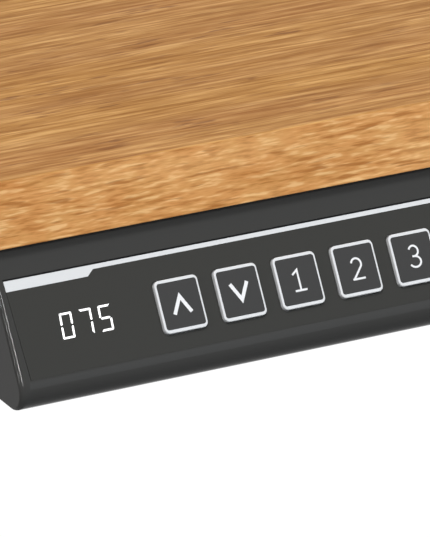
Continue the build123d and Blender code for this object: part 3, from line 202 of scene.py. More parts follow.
def blend_colours(tree, share, first, second):
    """Two colours mixed by a share, which is a number or a pattern."""
    inputs = {MIX_SHARE: share, MIX_FIRST: first, MIX_SECOND: second}
    return add_node(tree, "Mix", inputs, data_type="RGBA").outputs[MIX_RESULT]


def stain(tree, colours, pattern, colour, *steps):
    """Colours with one more colour blended in, as much as the steps of a pattern say."""
    return blend_colours(tree, grey_steps(tree, pattern, *steps), colours, colour)


def add_relief(tree, shader, pattern, depth):
    """Raise and lower the surface by a pattern, in metres."""
    bump = add_node(tree, "Bump", {"Height": pattern, "Distance": depth, "Strength": 1.0})
    tree.links.new(bump.outputs["Normal"], shader.inputs["Normal"])


print("the helpers for finishes are ready")

# %% [markdown]
# ## Wood-look top
# The board is faced with a printed oak decor: short fine dashes run along its length, light ones beside dark
# ones, gathered into soft bands that lean to orange or to pink, with clusters of dark pores. Layers of noise
# stretched along X give each of them its own length and width. They are bent a little by a slow noise first,
# because real grain never runs quite straight. Noise keeps near its middle value, so the colour steps lie
# close together around 0.5. From across the room the eye sees other things than from close by: long darker
# stripes, and the pointed arches that a flat cut through the tree's rings leaves. A wave texture of long
# stretched rings draws these arches very faintly.

# %% Oak decor of the top
OAK_WAVES = (2.2, 9.0, 9.0)
OAK_SWAY = 20.0 * MM
OAK_BANDS = [
    (0.38, tone(178, 122, 70)),
    (0.47, tone(174, 126, 72)),
    (0.54, tone(182, 131, 68)),
    (0.62, tone(189, 137, 66)),
]
OAK_DASHES = [
    (0.34, tone(130, 80, 34)),
    (0.45, tone(167, 117, 61)),
    (0.53, tone(183, 133, 73)),
    (0.66, tone(226, 176, 110)),
]
OAK_DASH_SHARE = 0.68
STRIPE_TONE = tone(150, 98, 46)
ARCH_TONE = tone(146, 92, 42)
HAIR_TONE = tone(140, 90, 44)
PORE_TONE = tone(122, 74, 34)
RING_CENTRE = (0.25, 0.4, 0.0)
RING_SCALE = (0.55, 6.5, 0.0)
RING_WAVES = {"Scale": 1.9, "Distortion": 2.2, "Detail": 2.0, "Detail Scale": 1.4}


def ring_arches(tree, place):
    """Long pointed arches, as where a board is cut across the rings of the tree."""
    stretch = add_node(tree, "Mapping", {"Vector": place, "Location": RING_CENTRE, "Scale": RING_SCALE})
    inputs = {"Vector": stretch.outputs["Vector"], **RING_WAVES}
    return add_node(tree, "TexWave", inputs, wave_type="RINGS", rings_direction="SPHERICAL").outputs["Fac"]


def oak_grain(tree, place):
    """Colour and fibres of the top's decor."""
    place = bent_place(tree, place, OAK_WAVES, OAK_SWAY)
    bands = stretched_noise(tree, place, (5.0, 42.0, 42.0), detail=2.0)
    dashes = stretched_noise(tree, place, (34.0, 640.0, 640.0), roughness=0.68)
    body = colour_steps(tree, bands, OAK_BANDS)
    grain = blend_colours(tree, OAK_DASH_SHARE, body, colour_steps(tree, dashes, OAK_DASHES))
    stripes = stretched_noise(tree, place, (1.3, 40.0, 40.0), roughness=0.55)
    grain = stain(tree, grain, stripes, STRIPE_TONE, (0.38, 0.3), (0.54, 0.0))
    arches = ring_arches(tree, place)
    grain = stain(tree, grain, arches, ARCH_TONE, (0.0, 0.0), (0.55, 0.04), (1.0, 0.26))
    hairs = stretched_noise(tree, place, (22.0, 1500.0, 1500.0), detail=2.0, roughness=0.5)
    grain = stain(tree, grain, hairs, HAIR_TONE, (0.36, 0.22), (0.48, 0.0))
    pores = stretched_noise(tree, place, (75.0, 560.0, 560.0), detail=2.0, roughness=0.55)
    clusters = stretched_noise(tree, place, (16.0, 90.0, 90.0), detail=1.0)
    pore_share = grey_steps(tree, pores, (0.58, 0.0), (0.68, 0.8))
    cluster_share = grey_steps(tree, clusters, (0.42, 0.25), (0.6, 1.0))
    share = worked_out(tree, "MULTIPLY", pore_share, cluster_share)
    return blend_colours(tree, share, grain, PORE_TONE), dashes


print("the top's dashes have", len(OAK_DASHES), "tones")

# %% Dress the top
WOOD_SHINE = 0.12
WOOD_RELIEF = 0.03 * MM


def oak_top_finish():
    """Satin oak decor with its grain along X."""
    finish, tree, shader = start_finish("oak_top", tone(182, 133, 83), 0.55, Specular_IOR_Level=WOOD_SHINE)
    colour, dashes = oak_grain(tree, object_place(tree))
    tree.links.new(colour, shader.inputs["Base Color"])
    tree.links.new(grey_steps(tree, dashes, (0.35, 0.62), (0.65, 0.48)), shader.inputs["Roughness"])
    add_relief(tree, shader, dashes, WOOD_RELIEF)
    return finish


dress(oak_top_finish(), "desktop")
print("dressed the top")

# %% [markdown]
# ## Edge band
# The band round the edge carries a coarser print than the top: a lighter oak with thin flecks along the edge,
# in larger patches that are lighter or darker. The flecks follow the edge on all four sides, so the pattern
# is read along X plus Y, which is the way along the edge on each side. The band's thin upper rim is part of
# the top's face, so there the finish changes over to the top's own grain.

# %% Oak decor of the edge band
EDGE_WAVES = (6.0, 1.0, 25.0)
EDGE_SWAY = 0.5 * MM
EDGE_CLOUDS = [(0.4, tone(203, 137, 75)), (0.5, tone(216, 156, 95)), (0.6, tone(228, 173, 109))]
EDGE_HUES = [(0.4, tone(222, 145, 83)), (0.5, tone(218, 157, 95)), (0.6, tone(206, 161, 95))]
EDGE_PATCHES = [(0.38, tone(194, 132, 74)), (0.5, tone(216, 155, 94)), (0.62, tone(238, 183, 122))]
EDGE_FLECKS = [
    (0.35, tone(166, 104, 44)),
    (0.46, tone(210, 149, 85)),
    (0.54, tone(221, 163, 100)),
    (0.65, tone(255, 212, 150)),
]
HUE_SHARE = 0.45
PATCH_SHARE = 0.5
FLECK_SHARE = 0.55
EDGE_DASH_TONE = tone(164, 102, 46)


def edge_grain(tree, place):
    """Colour and flecks of the band's decor, along X and up Z."""
    place = bent_place(tree, place, EDGE_WAVES, EDGE_SWAY)
    clouds = stretched_noise(tree, place, (62.0, 1.0, 170.0), detail=2.0)
    hues = stretched_noise(tree, place, (90.0, 1.0, 260.0), detail=2.0)
    drift = stretched_noise(tree, place, (15.0, 1.0, 70.0), detail=1.0)
    flecks = stretched_noise(tree, place, (120.0, 1.0, 860.0), detail=2.0)
    dashes = stretched_noise(tree, place, (74.0, 1.0, 600.0), detail=2.0, roughness=0.55)
    grain = colour_steps(tree, clouds, EDGE_CLOUDS)
    grain = blend_colours(tree, HUE_SHARE, grain, colour_steps(tree, hues, EDGE_HUES))
    grain = blend_colours(tree, PATCH_SHARE, grain, colour_steps(tree, drift, EDGE_PATCHES))
    grain = blend_colours(tree, FLECK_SHARE, grain, colour_steps(tree, flecks, EDGE_FLECKS))
    return stain(tree, grain, dashes, EDGE_DASH_TONE, (0.57, 0.0), (0.66, 0.7)), flecks


print("the band's flecks have", len(EDGE_FLECKS), "tones")

# %% Dress the edge band
RIM_START = 0.33 * MM
RIM_END = 0.12 * MM


def oak_edge_finish():
    """Lighter oak decor along the edge, and the top's own decor on the upper rim."""
    finish, tree, shader = start_finish("oak_edge", tone(206, 150, 94), 0.5, Specular_IOR_Level=WOOD_SHINE)
    spot = object_place(tree)
    parts = add_node(tree, "SeparateXYZ", {"Vector": spot}).outputs
    along = worked_out(tree, "ADD", parts["X"], parts["Y"])
    place = add_node(tree, "CombineXYZ", {"X": along, "Z": parts["Z"]}).outputs["Vector"]
    grain, flecks = edge_grain(tree, place)
    depth = worked_out(tree, "SUBTRACT", band_high.z, parts["Z"])
    change = {"Value": depth, "From Min": RIM_START, "From Max": RIM_END, "To Min": 0.0, "To Max": 1.0}
    rim = add_node(tree, "MapRange", change).outputs["Result"]
    tree.links.new(blend_colours(tree, rim, grain, oak_grain(tree, spot)[0]), shader.inputs["Base Color"])
    add_relief(tree, shader, flecks, WOOD_RELIEF)
    return finish


dress(oak_edge_finish(), "edge_banding")
print("dressed the edge band")

# %% [markdown]
# ## Plastics of the hand switch
# The shell is a satin black moulding with a very fine spark-eroded grain, and the face is a smoother dark
# film. The strip and the key caps are white. All of them are near to plain colours, so the life comes from a
# faint mottle in the roughness and from a grain that is too fine to see as dots. A grain is given by its
# count per metre and its depth.

# %% Moulded plastics
MOTTLE_PER_METRE = 90.0
MOTTLE_GLOSS = 0.04
SPARK_GRAIN = (6000.0, 0.0005 * MM)
FILM_GRAIN = (9000.0, 0.002 * MM)
SHELL_SHINE = 0.06
FILM_SHINE = 0.055
KEYS = ("key_up", "key_down", "key_1", "key_2", "key_3")


def moulded_finish(name, colour, roughness, grain, **sockets):
    """Plain plastic with a fine moulded grain and a faint mottle in its gloss."""
    finish, tree, shader = start_finish(name, colour, roughness, **sockets)
    place = object_place(tree)
    mottle = stretched_noise(tree, place, (MOTTLE_PER_METRE,) * 3)
    gloss = grey_steps(tree, mottle, (0.3, roughness - MOTTLE_GLOSS), (0.7, roughness + MOTTLE_GLOSS))
    tree.links.new(gloss, shader.inputs["Roughness"])
    per_metre, depth = grain
    add_relief(tree, shader, stretched_noise(tree, place, (per_metre,) * 3, detail=1.0), depth)
    return finish


shell_black = moulded_finish(
    "handset_black", tone(58, 58, 57), 0.11, SPARK_GRAIN, Specular_IOR_Level=SHELL_SHINE
)
face_film = moulded_finish("face_film", tone(55, 55, 53), 0.42, FILM_GRAIN, Specular_IOR_Level=FILM_SHINE)
strip_white = moulded_finish("strip_white", tone(202, 204, 206), 0.35, FILM_GRAIN)
key_white = moulded_finish("key_white", tone(207, 209, 211), 0.35, FILM_GRAIN)
dress(shell_black, "handset_shell")
dress(face_film, "handset_face")
dress(strip_white, "accent_strip")
dress(key_white, *KEYS)
print("dressed the hand switch")

# %% [markdown]
# ## Working on the sloped face
# The keys and the display lie on a face that leans back. The way that a key is pressed is square to that
# face, so the frame's own joint gives the face's direction. Pieces are modelled flat, with X to the right, Y
# up the slope and Z out of the face, and are then turned onto the face in one step and applied, so that each
# object ends at the origin with its place in its mesh.

# %% Directions of the face
press = next(joint for joint in frame["joints"] if joint["name"] == "key_up_press")
face_out = -Vector(press["axis"]).normalized()
face_right = Vector((1.0, 0.0, 0.0))
face_up = face_out.cross(face_right)
FACE_TURN = Matrix((face_right, face_up, face_out)).transposed().to_4x4()


def reach(node, direction):
    """The lowest and the highest point of a CAD node along a direction."""
    levels = [direction.dot(vertex.co) for vertex in nodes[node].data.vertices]
    return min(levels), max(levels)


print("the face looks along", face_out[:])

# %% Helpers for modelled pieces
def select_only(*pieces):
    """Select these pieces and nothing else, with the first of them active."""
    bpy.ops.object.select_all(action="DESELECT")
    for piece in pieces:
        piece.select_set(True)
    bpy.context.view_layer.objects.active = pieces[0]


def start_plane(name, width, height):
    """A new plane of a size at the origin, in edit mode and selected all over."""
    bpy.ops.object.select_all(action="DESELECT")
    bpy.ops.mesh.primitive_plane_add(size=1.0)
    plane = bpy.context.object
    plane.name = name
    plane.scale = (width, height, 1.0)
    bpy.ops.object.transform_apply(location=True, rotation=True, scale=True)
    bpy.ops.object.mode_set(mode="EDIT")
    bpy.ops.mesh.select_all(action="SELECT")
    return plane


def face_outwards():
    """Turn all the faces of the piece in edit mode outwards, and leave edit mode."""
    bpy.ops.mesh.select_all(action="SELECT")
    bpy.ops.mesh.normals_make_consistent(inside=False)
    bpy.ops.object.mode_set(mode="OBJECT")


def raise_plate(height):
    """Extrude a flat outline in edit mode into a plate, turn its faces outwards, and leave edit mode."""
    bpy.ops.mesh.select_all(action="SELECT")
    bpy.ops.mesh.extrude_region_move(TRANSFORM_OT_translate={"value": (0, 0, height)})
    face_outwards()


def settle(piece, turn):
    """Move a piece by a matrix and apply it, so that the object sits at the origin."""
    select_only(piece)
    piece.matrix_world = turn
    bpy.ops.object.transform_apply(location=True, rotation=True, scale=True)


def hand_over(piece, finish, body):
    """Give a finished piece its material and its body."""
    piece.data.materials.clear()
    piece.data.materials.append(finish)
    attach(piece, body)


print("the helpers for modelled pieces are ready")

# %% [markdown]
# ## Dark key tops
# Each key is a white cap with a dark printed top, so only a rim of white is left. A plane is rounded at its
# corners and extruded into a thin plate, which stands a hair proud of the cap so that the two surfaces never
# flicker.

# %% Key tops
INLAY_WIDTH = 10.96 * MM
INLAY_HEIGHT = 11.84 * MM
INLAY_RADIUS = 0.7 * MM
INLAY_SHIFT = 0.03 * MM
INLAY_SINK = 0.2 * MM
INLAY_PROUD = 0.015 * MM
CORNER_STEPS = 6
key_dark = moulded_finish("key_dark", tone(61, 61, 61), 0.45, FILM_GRAIN, Specular_IOR_Level=FILM_SHINE)


def key_centre(key):
    """The matrix that puts a flat piece on the middle of a key's top."""
    left, right = reach(key, face_right)
    low, high = reach(key, face_up)
    return FACE_TURN @ Matrix.Translation(((left + right) / 2, (low + high) / 2, reach(key, face_out)[1]))


def key_inlay(key):
    """The dark top of one key."""
    inlay = start_plane(key + "_top", INLAY_WIDTH, INLAY_HEIGHT)
    bpy.ops.transform.translate(value=(0, INLAY_SHIFT, -INLAY_SINK))
    bpy.ops.mesh.bevel(affect="VERTICES", offset=INLAY_RADIUS, segments=CORNER_STEPS)
    raise_plate(INLAY_SINK + INLAY_PROUD)
    settle(inlay, key_centre(key))
    hand_over(inlay, key_dark, key)


for key in KEYS:
    key_inlay(key)
print("made", len(KEYS), "key tops")

# %% [markdown]
# ## Signs on the keys
# The signs are printed strokes of one width: two arrows and the numerals 1, 2 and 3. A font would give other
# shapes, so each sign is a path of straight runs and arcs, in millimetres. A stroke's outline is that path
# moved half a width to each side, with its corners mitred. A circle whose corners are moved to that outline
# is then extruded into a thin plate. Where two strokes cross, one lies a hair higher.

# %% Strokes
ARC_STEPS = 14
MITRE_LIMIT = 0.3


def arc(centre, radii, start, end):
    """Points along an arc from one angle to another, in degrees, with a radius for each axis."""
    turns = [radians(start + (end - start) * step / ARC_STEPS) for step in range(ARC_STEPS + 1)]
    return [(centre[0] + radii[0] * cos(turn), centre[1] + radii[1] * sin(turn)) for turn in turns]


def stroke_outline(path, width):
    """The outline of a stroke along a path, with mitred corners and square ends."""
    points = [Vector(point) * MM for point in path]
    runs = [(b - a).normalized() for a, b in zip(points, points[1:])]
    left = []
    right = []
    for index, point in enumerate(points):
        before = runs[max(index - 1, 0)]
        after = runs[min(index, len(runs) - 1)]
        side = (before + after).normalized().orthogonal()
        half = width / 2 / max(side.dot(after.orthogonal()), MITRE_LIMIT)
        left.append(point + side * half)
        right.append(point - side * half)
    return [tuple(point) for point in left + right[::-1]]


def outline_plate(name, outline, base, top):
    """A flat plate cut to an outline: a filled circle whose corners are moved to it, then extruded."""
    bpy.ops.object.select_all(action="DESELECT")
    bpy.ops.mesh.primitive_circle_add(vertices=len(outline), fill_type="NGON")
    plate = bpy.context.object
    plate.name = name
    for vertex, (x, y) in zip(plate.data.vertices, outline):
        vertex.co = (x, y, base)
    bpy.ops.object.mode_set(mode="EDIT")
    raise_plate(top - base)
    return plate


def join_pieces(pieces):
    """Join pieces into the first of them."""
    select_only(*pieces)
    if len(pieces) > 1:
        bpy.ops.object.join()
    return pieces[0]


print("an arc has", ARC_STEPS + 1, "points")

# %% Signs
SIGN_PROUD = 0.03 * MM
LAYER_STEP = 0.002 * MM
ARROW_STROKE = 0.95 * MM
NUMERAL_STROKE = 0.5 * MM
SIGN_PATHS = {
    "key_up": [[(-2.36, -2.3), (0.0, 2.0), (2.36, -2.3)]],
    "key_down": [[(-2.36, 2.4), (0.0, -1.9), (2.36, 2.4)]],
    "key_1": [[(-1.5, 1.6), (0.0, 2.72), (0.0, -2.55)], [(-1.64, -2.55), (1.7, -2.55)]],
    "key_2": [arc((0.05, 1.22), (1.38, 1.45), 165, -30) + [(-1.4, -2.6)], [(-1.75, -2.6), (1.77, -2.6)]],
    "key_3": [
        arc((0.1, 1.6), (1.3, 1.35), 155, -90),
        arc((0.0, -1.15), (1.6, 1.4), 90, -155),
        [(-0.5, 0.25), (0.2, 0.25)],
    ],
}
sign_white = moulded_finish("sign_white", tone(220, 221, 223), 0.4, FILM_GRAIN)


def key_sign(key, paths):
    """The printed sign of one key."""
    width = ARROW_STROKE if key in ("key_up", "key_down") else NUMERAL_STROKE
    plates = [
        outline_plate(key + "_sign", stroke_outline(path, width), 0.0, SIGN_PROUD + layer * LAYER_STEP)
        for layer, path in enumerate(paths)
    ]
    sign = join_pieces(plates)
    settle(sign, key_centre(key))
    hand_over(sign, sign_white, key)


for key, paths in SIGN_PATHS.items():
    key_sign(key, paths)
print("made", len(SIGN_PATHS), "signs")

# %% [markdown]
# ## Lit numerals
# The display shines through the face film and shows the height of the top in centimetres. A numeral is built
# of seven bars with pointed ends, and leans a little to the right. Only the lit bars are made, each as a thin
# plate with a glowing finish.

# %% Bars of a numeral
DIGIT_HALF_WIDTH = 1.68 * MM
DIGIT_HALF_HEIGHT = 3.25 * MM
DIGIT_STROKE = 0.52 * MM
DIGIT_WAIST = 0.19 * MM
DIGIT_MITRE = 0.09 * MM
DIGIT_SLANT = 0.06


def bar_outline(bar):
    """The outline of one of a numeral's seven bars, a at the top, b to f clockwise, g in the middle."""
    wide, tall, stroke, mitre = DIGIT_HALF_WIDTH, DIGIT_HALF_HEIGHT, DIGIT_STROKE, DIGIT_MITRE
    if bar == "g":
        tip, shoulder = wide - stroke / 2 - mitre, wide - stroke - mitre
        corners = [(-tip, 0), (-shoulder, -1), (shoulder, -1), (tip, 0), (shoulder, 1), (-shoulder, 1)]
        points = [(x, level * stroke / 2) for x, level in corners]
    elif bar in "ad":
        flip = 1 if bar == "a" else -1
        outer, inner = wide - mitre, wide - stroke - mitre
        points = [(-outer, tall), (outer, tall), (inner, tall - stroke), (-inner, tall - stroke)]
        points = [(x, flip * y) for x, y in points]
    else:
        side = 1 if bar in "bc" else -1
        flip = 1 if bar in "bf" else -1
        points = [
            (wide, tall - mitre),
            (wide, DIGIT_WAIST + stroke / 4),
            (wide - stroke / 2, DIGIT_WAIST),
            (wide - stroke, DIGIT_WAIST + stroke / 2),
            (wide - stroke, tall - stroke - mitre),
        ]
        points = [(side * x, flip * y) for x, y in points]
    return [(x + DIGIT_SLANT * y, y) for x, y in points]


print("a bar at the side has", len(bar_outline("b")), "corners")

# %% Numerals
FACE_SET_BACK = 3.0 * MM
DIGIT_PITCH = 5.29 * MM
DIGIT_FIRST = 15.98 * MM
DIGIT_DROP = 22.45 * MM
DIGIT_SINK = 0.1 * MM
DIGIT_PROUD = 0.015 * MM
GLOW_STRENGTH = 0.6
LIT_BARS = {"0": "abcdef", "7": "abc", "5": "acdfg"}
SHOWN_HEIGHT = "075"

glow_finish = start_finish(
    "display_glow", tone(250, 250, 250), 0.4, Emission_Color=WHITE, Emission_Strength=GLOW_STRENGTH
)[0]
face_level = reach("handset_face", face_out)[1]
face_head = face_up.dot(Vector((0.0, band_low.y + FACE_SET_BACK, underside)))
for place, numeral in enumerate(SHOWN_HEIGHT):
    outlines = [bar_outline(bar) for bar in LIT_BARS[numeral]]
    name = f"numeral_{place + 1}"
    digit = join_pieces([outline_plate(name, outline, -DIGIT_SINK, DIGIT_PROUD) for outline in outlines])
    centre = (shell_low.x + DIGIT_FIRST + place * DIGIT_PITCH, face_head - DIGIT_DROP, face_level)
    settle(digit, FACE_TURN @ Matrix.Translation(centre))
    hand_over(digit, glow_finish, "lift")
print("lit", SHOWN_HEIGHT)

# %% [markdown]
# ## Metals, coats and hidden plastics
# The frame is black powder coat, which has a fine orange peel. Fasteners and the hexagon rod are zinc plated,
# with a cloudy sheen, the spindles are bright turned steel, the gears are darker and oiled, and the cases are
# die-cast aluminium with a sandy skin. One function makes a coat and one makes a metal, and their arguments
# say how rough, how cloudy and how grainy it is. The guides, the nuts and the control box are plastics as
# above, with a coarser grain.

# %% Powder coat and metals
COAT_SHINE = 0.4
PATCHES_PER_METRE = 7.0
PATCH_GLOSS = 0.05
CLOUD_DULL = 0.08
CLOUD_BRIGHT = 0.05


def coated_finish(name, colour, roughness, peel_per_metre, peel_depth):
    """Painted or powder-coated steel: a plain colour with a soft orange peel and slightly uneven gloss."""
    finish, tree, shader = start_finish(name, colour, roughness, Specular_IOR_Level=COAT_SHINE)
    place = object_place(tree)
    patches = stretched_noise(tree, place, (PATCHES_PER_METRE,) * 3, detail=2.0)
    gloss = grey_steps(tree, patches, (0.3, roughness - PATCH_GLOSS), (0.7, roughness + PATCH_GLOSS))
    tree.links.new(gloss, shader.inputs["Roughness"])
    add_relief(tree, shader, stretched_noise(tree, place, (peel_per_metre,) * 3, detail=2.0), peel_depth)
    return finish


def metal_finish(name, dark, light, roughness, clouds_per_metre, grain_per_metre, grain_depth):
    """Bare or plated metal: a cloudy colour and a grain with its own count per metre along each axis."""
    finish, tree, shader = start_finish(name, (*light, 1.0), roughness, Metallic=1.0)
    place = object_place(tree)
    clouds = stretched_noise(tree, place, (clouds_per_metre,) * 3)
    colours = colour_steps(tree, clouds, [(0.3, (*dark, 1.0)), (0.7, (*light, 1.0))])
    tree.links.new(colours, shader.inputs["Base Color"])
    gloss = grey_steps(tree, clouds, (0.3, roughness + CLOUD_DULL), (0.7, roughness - CLOUD_BRIGHT))
    tree.links.new(gloss, shader.inputs["Roughness"])
    add_relief(tree, shader, stretched_noise(tree, place, grain_per_metre, detail=2.0), grain_depth)
    return finish


EVEN = Vector((1.0, 1.0, 1.0))
ALONG_TURNING = (60.0, 60.0, 5000.0)
FINE = 0.006 * MM
SANDY = 0.03 * MM
frame_coat = coated_finish("frame_coat", tone(38, 38, 39), 0.46, 1400.0, 0.02 * MM)
motor_can = coated_finish("motor_can", tone(34, 34, 36), 0.32, 700.0, 0.008 * MM)
zinc = metal_finish("zinc", (0.50, 0.50, 0.49), (0.66, 0.66, 0.64), 0.34, 260.0, 1500.0 * EVEN, FINE)
turned_steel = metal_finish(
    "bright_steel", (0.48, 0.48, 0.48), (0.62, 0.62, 0.61), 0.26, 60.0, ALONG_TURNING, FINE
)
gear_steel = metal_finish(
    "gear_steel", (0.30, 0.29, 0.28), (0.44, 0.44, 0.43), 0.3, 180.0, 2500.0 * EVEN, FINE
)
cast_skin = metal_finish(
    "cast_case", (0.46, 0.47, 0.48), (0.58, 0.59, 0.60), 0.52, 120.0, 2200.0 * EVEN, SANDY
)
print("mixed two coats and four metals")

# %% Dress the frame and the drive
BOX_GRAIN = (4000.0, 0.01 * MM)
GUIDE_GRAIN = (3000.0, 0.005 * MM)
SIDES = ("left", "right")
COATED = ("foot", "lower_tube", "upper_tube", "arm", "rail_ends")
FASTENERS = ("tab_screws", "desktop_screws", "frame_bolts", "motor_bolts", "rail_lock_screws", "foot_bolts")
CONTROL_BOX = ("control_box_base", "control_box_cover", "mains_inlet", "control_sockets")

black_plastic = moulded_finish("black_plastic", tone(38, 38, 39), 0.5, BOX_GRAIN)
guide_plastic = moulded_finish("guide_plastic", tone(48, 48, 49), 0.38, GUIDE_GRAIN)
nut_plastic = moulded_finish("nut_plastic", tone(230, 229, 222), 0.4, GUIDE_GRAIN)
for side in SIDES:
    dress(frame_coat, *(f"{side}_{piece}" for piece in COATED))
    dress(guide_plastic, f"{side}_collar", f"{side}_slider")
    dress(turned_steel, f"{side}_spindle")
    dress(gear_steel, f"{side}_spindle_gear")
    dress(cast_skin, f"{side}_gear_case")
dress(frame_coat, "front_rail", "rear_rail")
dress(cast_skin, "gear_case_lids", "motor_gearbox")
dress(motor_can, "drive_motor")
dress(gear_steel, "drive_pinions", "drive_sleeve")
dress(turned_steel, "nut_posts", "spindle_bearings")
dress(nut_plastic, "spindle_nuts")
dress(zinc, "drive_rod", *FASTENERS)
dress(black_plastic, *CONTROL_BOX, "handset_socket", "key_switches")
print("dressed the frame and the drive")

# %% [markdown]
# ## Weld beads
# Each column is welded all round to its base plate, and the coat goes over the weld. The bead follows the
# tube's outline, so it starts from a plane of the tube's size with rounded corners. Its edges are cut into
# short steps, the outline is made a curve with a round section, and every second step is a little thinner,
# which gives the ripples.

# %% Weld beads
TUBE_SIZE = Vector((50.0, 80.0)) * MM
TUBE_CORNER = 8.0 * MM
CORNER_CUTS = 8
LONG_RUN = 0.9
PLATE_THICKNESS = 5.0 * MM
WELD_RADIUS = 1.9 * MM
WELD_ROUNDING = 2
WELD_STEP = 1.6 * MM
WELD_RIPPLE = 0.82


def cut_runs(outline, axis):
    """Cut the two straight runs along an axis into weld steps, an odd number of cuts in each."""
    bpy.ops.object.mode_set(mode="OBJECT")
    length = TUBE_SIZE[axis] - 2 * TUBE_CORNER
    for edge in outline.data.edges:
        first, second = (outline.data.vertices[index].co for index in edge.vertices)
        edge.select = abs((second - first)[axis]) > LONG_RUN * length
    bpy.ops.object.mode_set(mode="EDIT")
    bpy.ops.mesh.subdivide(number_cuts=int(length / WELD_STEP) // 2 * 2 + 1)


def weld_bead(side):
    """The bead round one column's foot."""
    low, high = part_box(f"{side}_lower_tube")
    bead = start_plane(f"{side}_weld", *TUBE_SIZE)
    bpy.ops.mesh.select_mode(type="EDGE")
    bpy.ops.mesh.select_all(action="SELECT")
    bpy.ops.mesh.bevel(affect="VERTICES", offset=TUBE_CORNER, segments=CORNER_CUTS)
    bpy.ops.mesh.select_all(action="SELECT")
    bpy.ops.mesh.delete(type="ONLY_FACE")
    cut_runs(bead, 0)
    cut_runs(bead, 1)
    bpy.ops.object.mode_set(mode="OBJECT")
    bpy.ops.object.convert(target="CURVE")
    bead.data.bevel_depth = WELD_RADIUS
    bead.data.bevel_resolution = WELD_ROUNDING
    for step, point in enumerate(bead.data.splines[0].points):
        point.radius = WELD_RIPPLE if step % 2 else 1.0
    bpy.ops.object.convert(target="MESH")
    settle(bead, Matrix.Translation(((low.x + high.x) / 2, (low.y + high.y) / 2, low.z + PLATE_THICKNESS)))
    bpy.ops.object.shade_smooth()
    hand_over(bead, frame_coat, "base")
    print(bead.name, len(bead.data.vertices), "vertices")


for side in SIDES:
    weld_bead(side)

# %% [markdown]
# ## Spindle threads
# A lifting spindle has a trapezoidal thread with two starts, which lifts the desk 8 mm for each turn. The
# solid is a plain bar, so a threaded piece of the same size stands for it. The outline of one turn is drawn
# by extruding a single point along the crest, down a flank, along the root and up the next flank. A Screw
# modifier sweeps it round and up, both ends are cut flat, and a Boolean adds the thin journal that sits in
# the bearing and the gear.

# %% Threaded bar
THREAD_LEAD = 8.0 * MM
THREAD_STARTS = 2
THREAD_PITCH = THREAD_LEAD / THREAD_STARTS
THREAD_DEPTH = 2.25 * MM
CREST, FLANK, ROOT = 0.365 * THREAD_PITCH, 0.15 * THREAD_PITCH, 0.335 * THREAD_PITCH
THREAD_RUNS = ((0.0, CREST), (-THREAD_DEPTH, FLANK), (0.0, ROOT), (THREAD_DEPTH, FLANK))
THREAD_STEPS = 24
SAME_POINT = 0.01 * MM


def cut_flat(height, **side):
    """Cut the piece in edit mode at a height, drop what is on one side, and close it."""
    bpy.ops.mesh.select_all(action="SELECT")
    bpy.ops.mesh.bisect(plane_co=(0.0, 0.0, height), plane_no=(0.0, 0.0, 1.0), use_fill=True, **side)


def thread_bar(name, radius, length):
    """A bar with a thread from its foot to its shoulder, standing on the origin."""
    bar = start_plane(name, 1.0, 1.0)
    bpy.ops.mesh.select_mode(type="VERT")
    bpy.ops.mesh.select_all(action="SELECT")
    bpy.ops.mesh.merge(type="CENTER")
    bpy.ops.transform.translate(value=(radius, 0.0, -THREAD_LEAD))
    for outward, rise in THREAD_RUNS * THREAD_STARTS:
        bpy.ops.mesh.extrude_vertices_move(TRANSFORM_OT_translate={"value": (outward, 0.0, rise)})
    bpy.ops.object.mode_set(mode="OBJECT")
    sweep = bar.modifiers.new("sweep", "SCREW")
    sweep.screw_offset = THREAD_LEAD
    sweep.iterations = ceil(length / THREAD_LEAD) + 1
    sweep.steps = sweep.render_steps = THREAD_STEPS
    sweep.use_merge_vertices = True
    sweep.merge_threshold = SAME_POINT
    bpy.ops.object.modifier_apply(modifier="sweep")
    bpy.ops.object.mode_set(mode="EDIT")
    bpy.ops.mesh.select_all(action="SELECT")
    bpy.ops.mesh.remove_doubles(threshold=SAME_POINT)
    cut_flat(0.0, clear_inner=True)
    cut_flat(length, clear_outer=True)
    face_outwards()
    return bar


print("a thread with", THREAD_STARTS, "starts and a pitch of", THREAD_PITCH, "m")

# %% Spindles
JOURNAL_RADIUS = 5.0 * MM
JOURNAL_SIDES = 48
SHOULDER_GAP = 0.2 * MM
CREASE = radians(30.0)


def add_journal(bar, bottom, top):
    """Join a turned journal to the bar's upper end."""
    bpy.ops.object.select_all(action="DESELECT")
    middle = (0.0, 0.0, (bottom + top) / 2)
    bpy.ops.mesh.primitive_cylinder_add(
        vertices=JOURNAL_SIDES, radius=JOURNAL_RADIUS, depth=top - bottom, location=middle
    )
    journal = bpy.context.object
    select_only(bar)
    union = bar.modifiers.new("union", "BOOLEAN")
    union.operation = "UNION"
    union.object = journal
    bpy.ops.object.modifier_apply(modifier="union")
    bpy.data.objects.remove(journal)


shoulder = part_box("spindle_bearings")[0].z - SHOULDER_GAP
for side in SIDES:
    low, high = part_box(f"{side}_spindle")
    bar = thread_bar(f"{side}_thread", (high.x - low.x) / 2, shoulder - low.z)
    add_journal(bar, shoulder - low.z - JOURNAL_RADIUS, high.z - low.z)
    settle(bar, Matrix.Translation(((low.x + high.x) / 2, (low.y + high.y) / 2, low.z)))
    bpy.ops.object.shade_smooth_by_angle(angle=CREASE)
    hand_over(bar, turned_steel, f"{side}_spindle")
    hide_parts(f"{side}_spindle")
    print(bar.name, len(bar.data.polygons), "faces, from", low.z, "to", high.z)

# %% [markdown]
# ## Levelling pads, boards and display
# A levelling foot is a zinc stud moulded into a rubber pad. It is one node, so its finish changes at the
# height where the pad ends. The circuit boards are green, with fine tracks made by two crossed bands of
# waves. The body of the display is smooth black plastic.

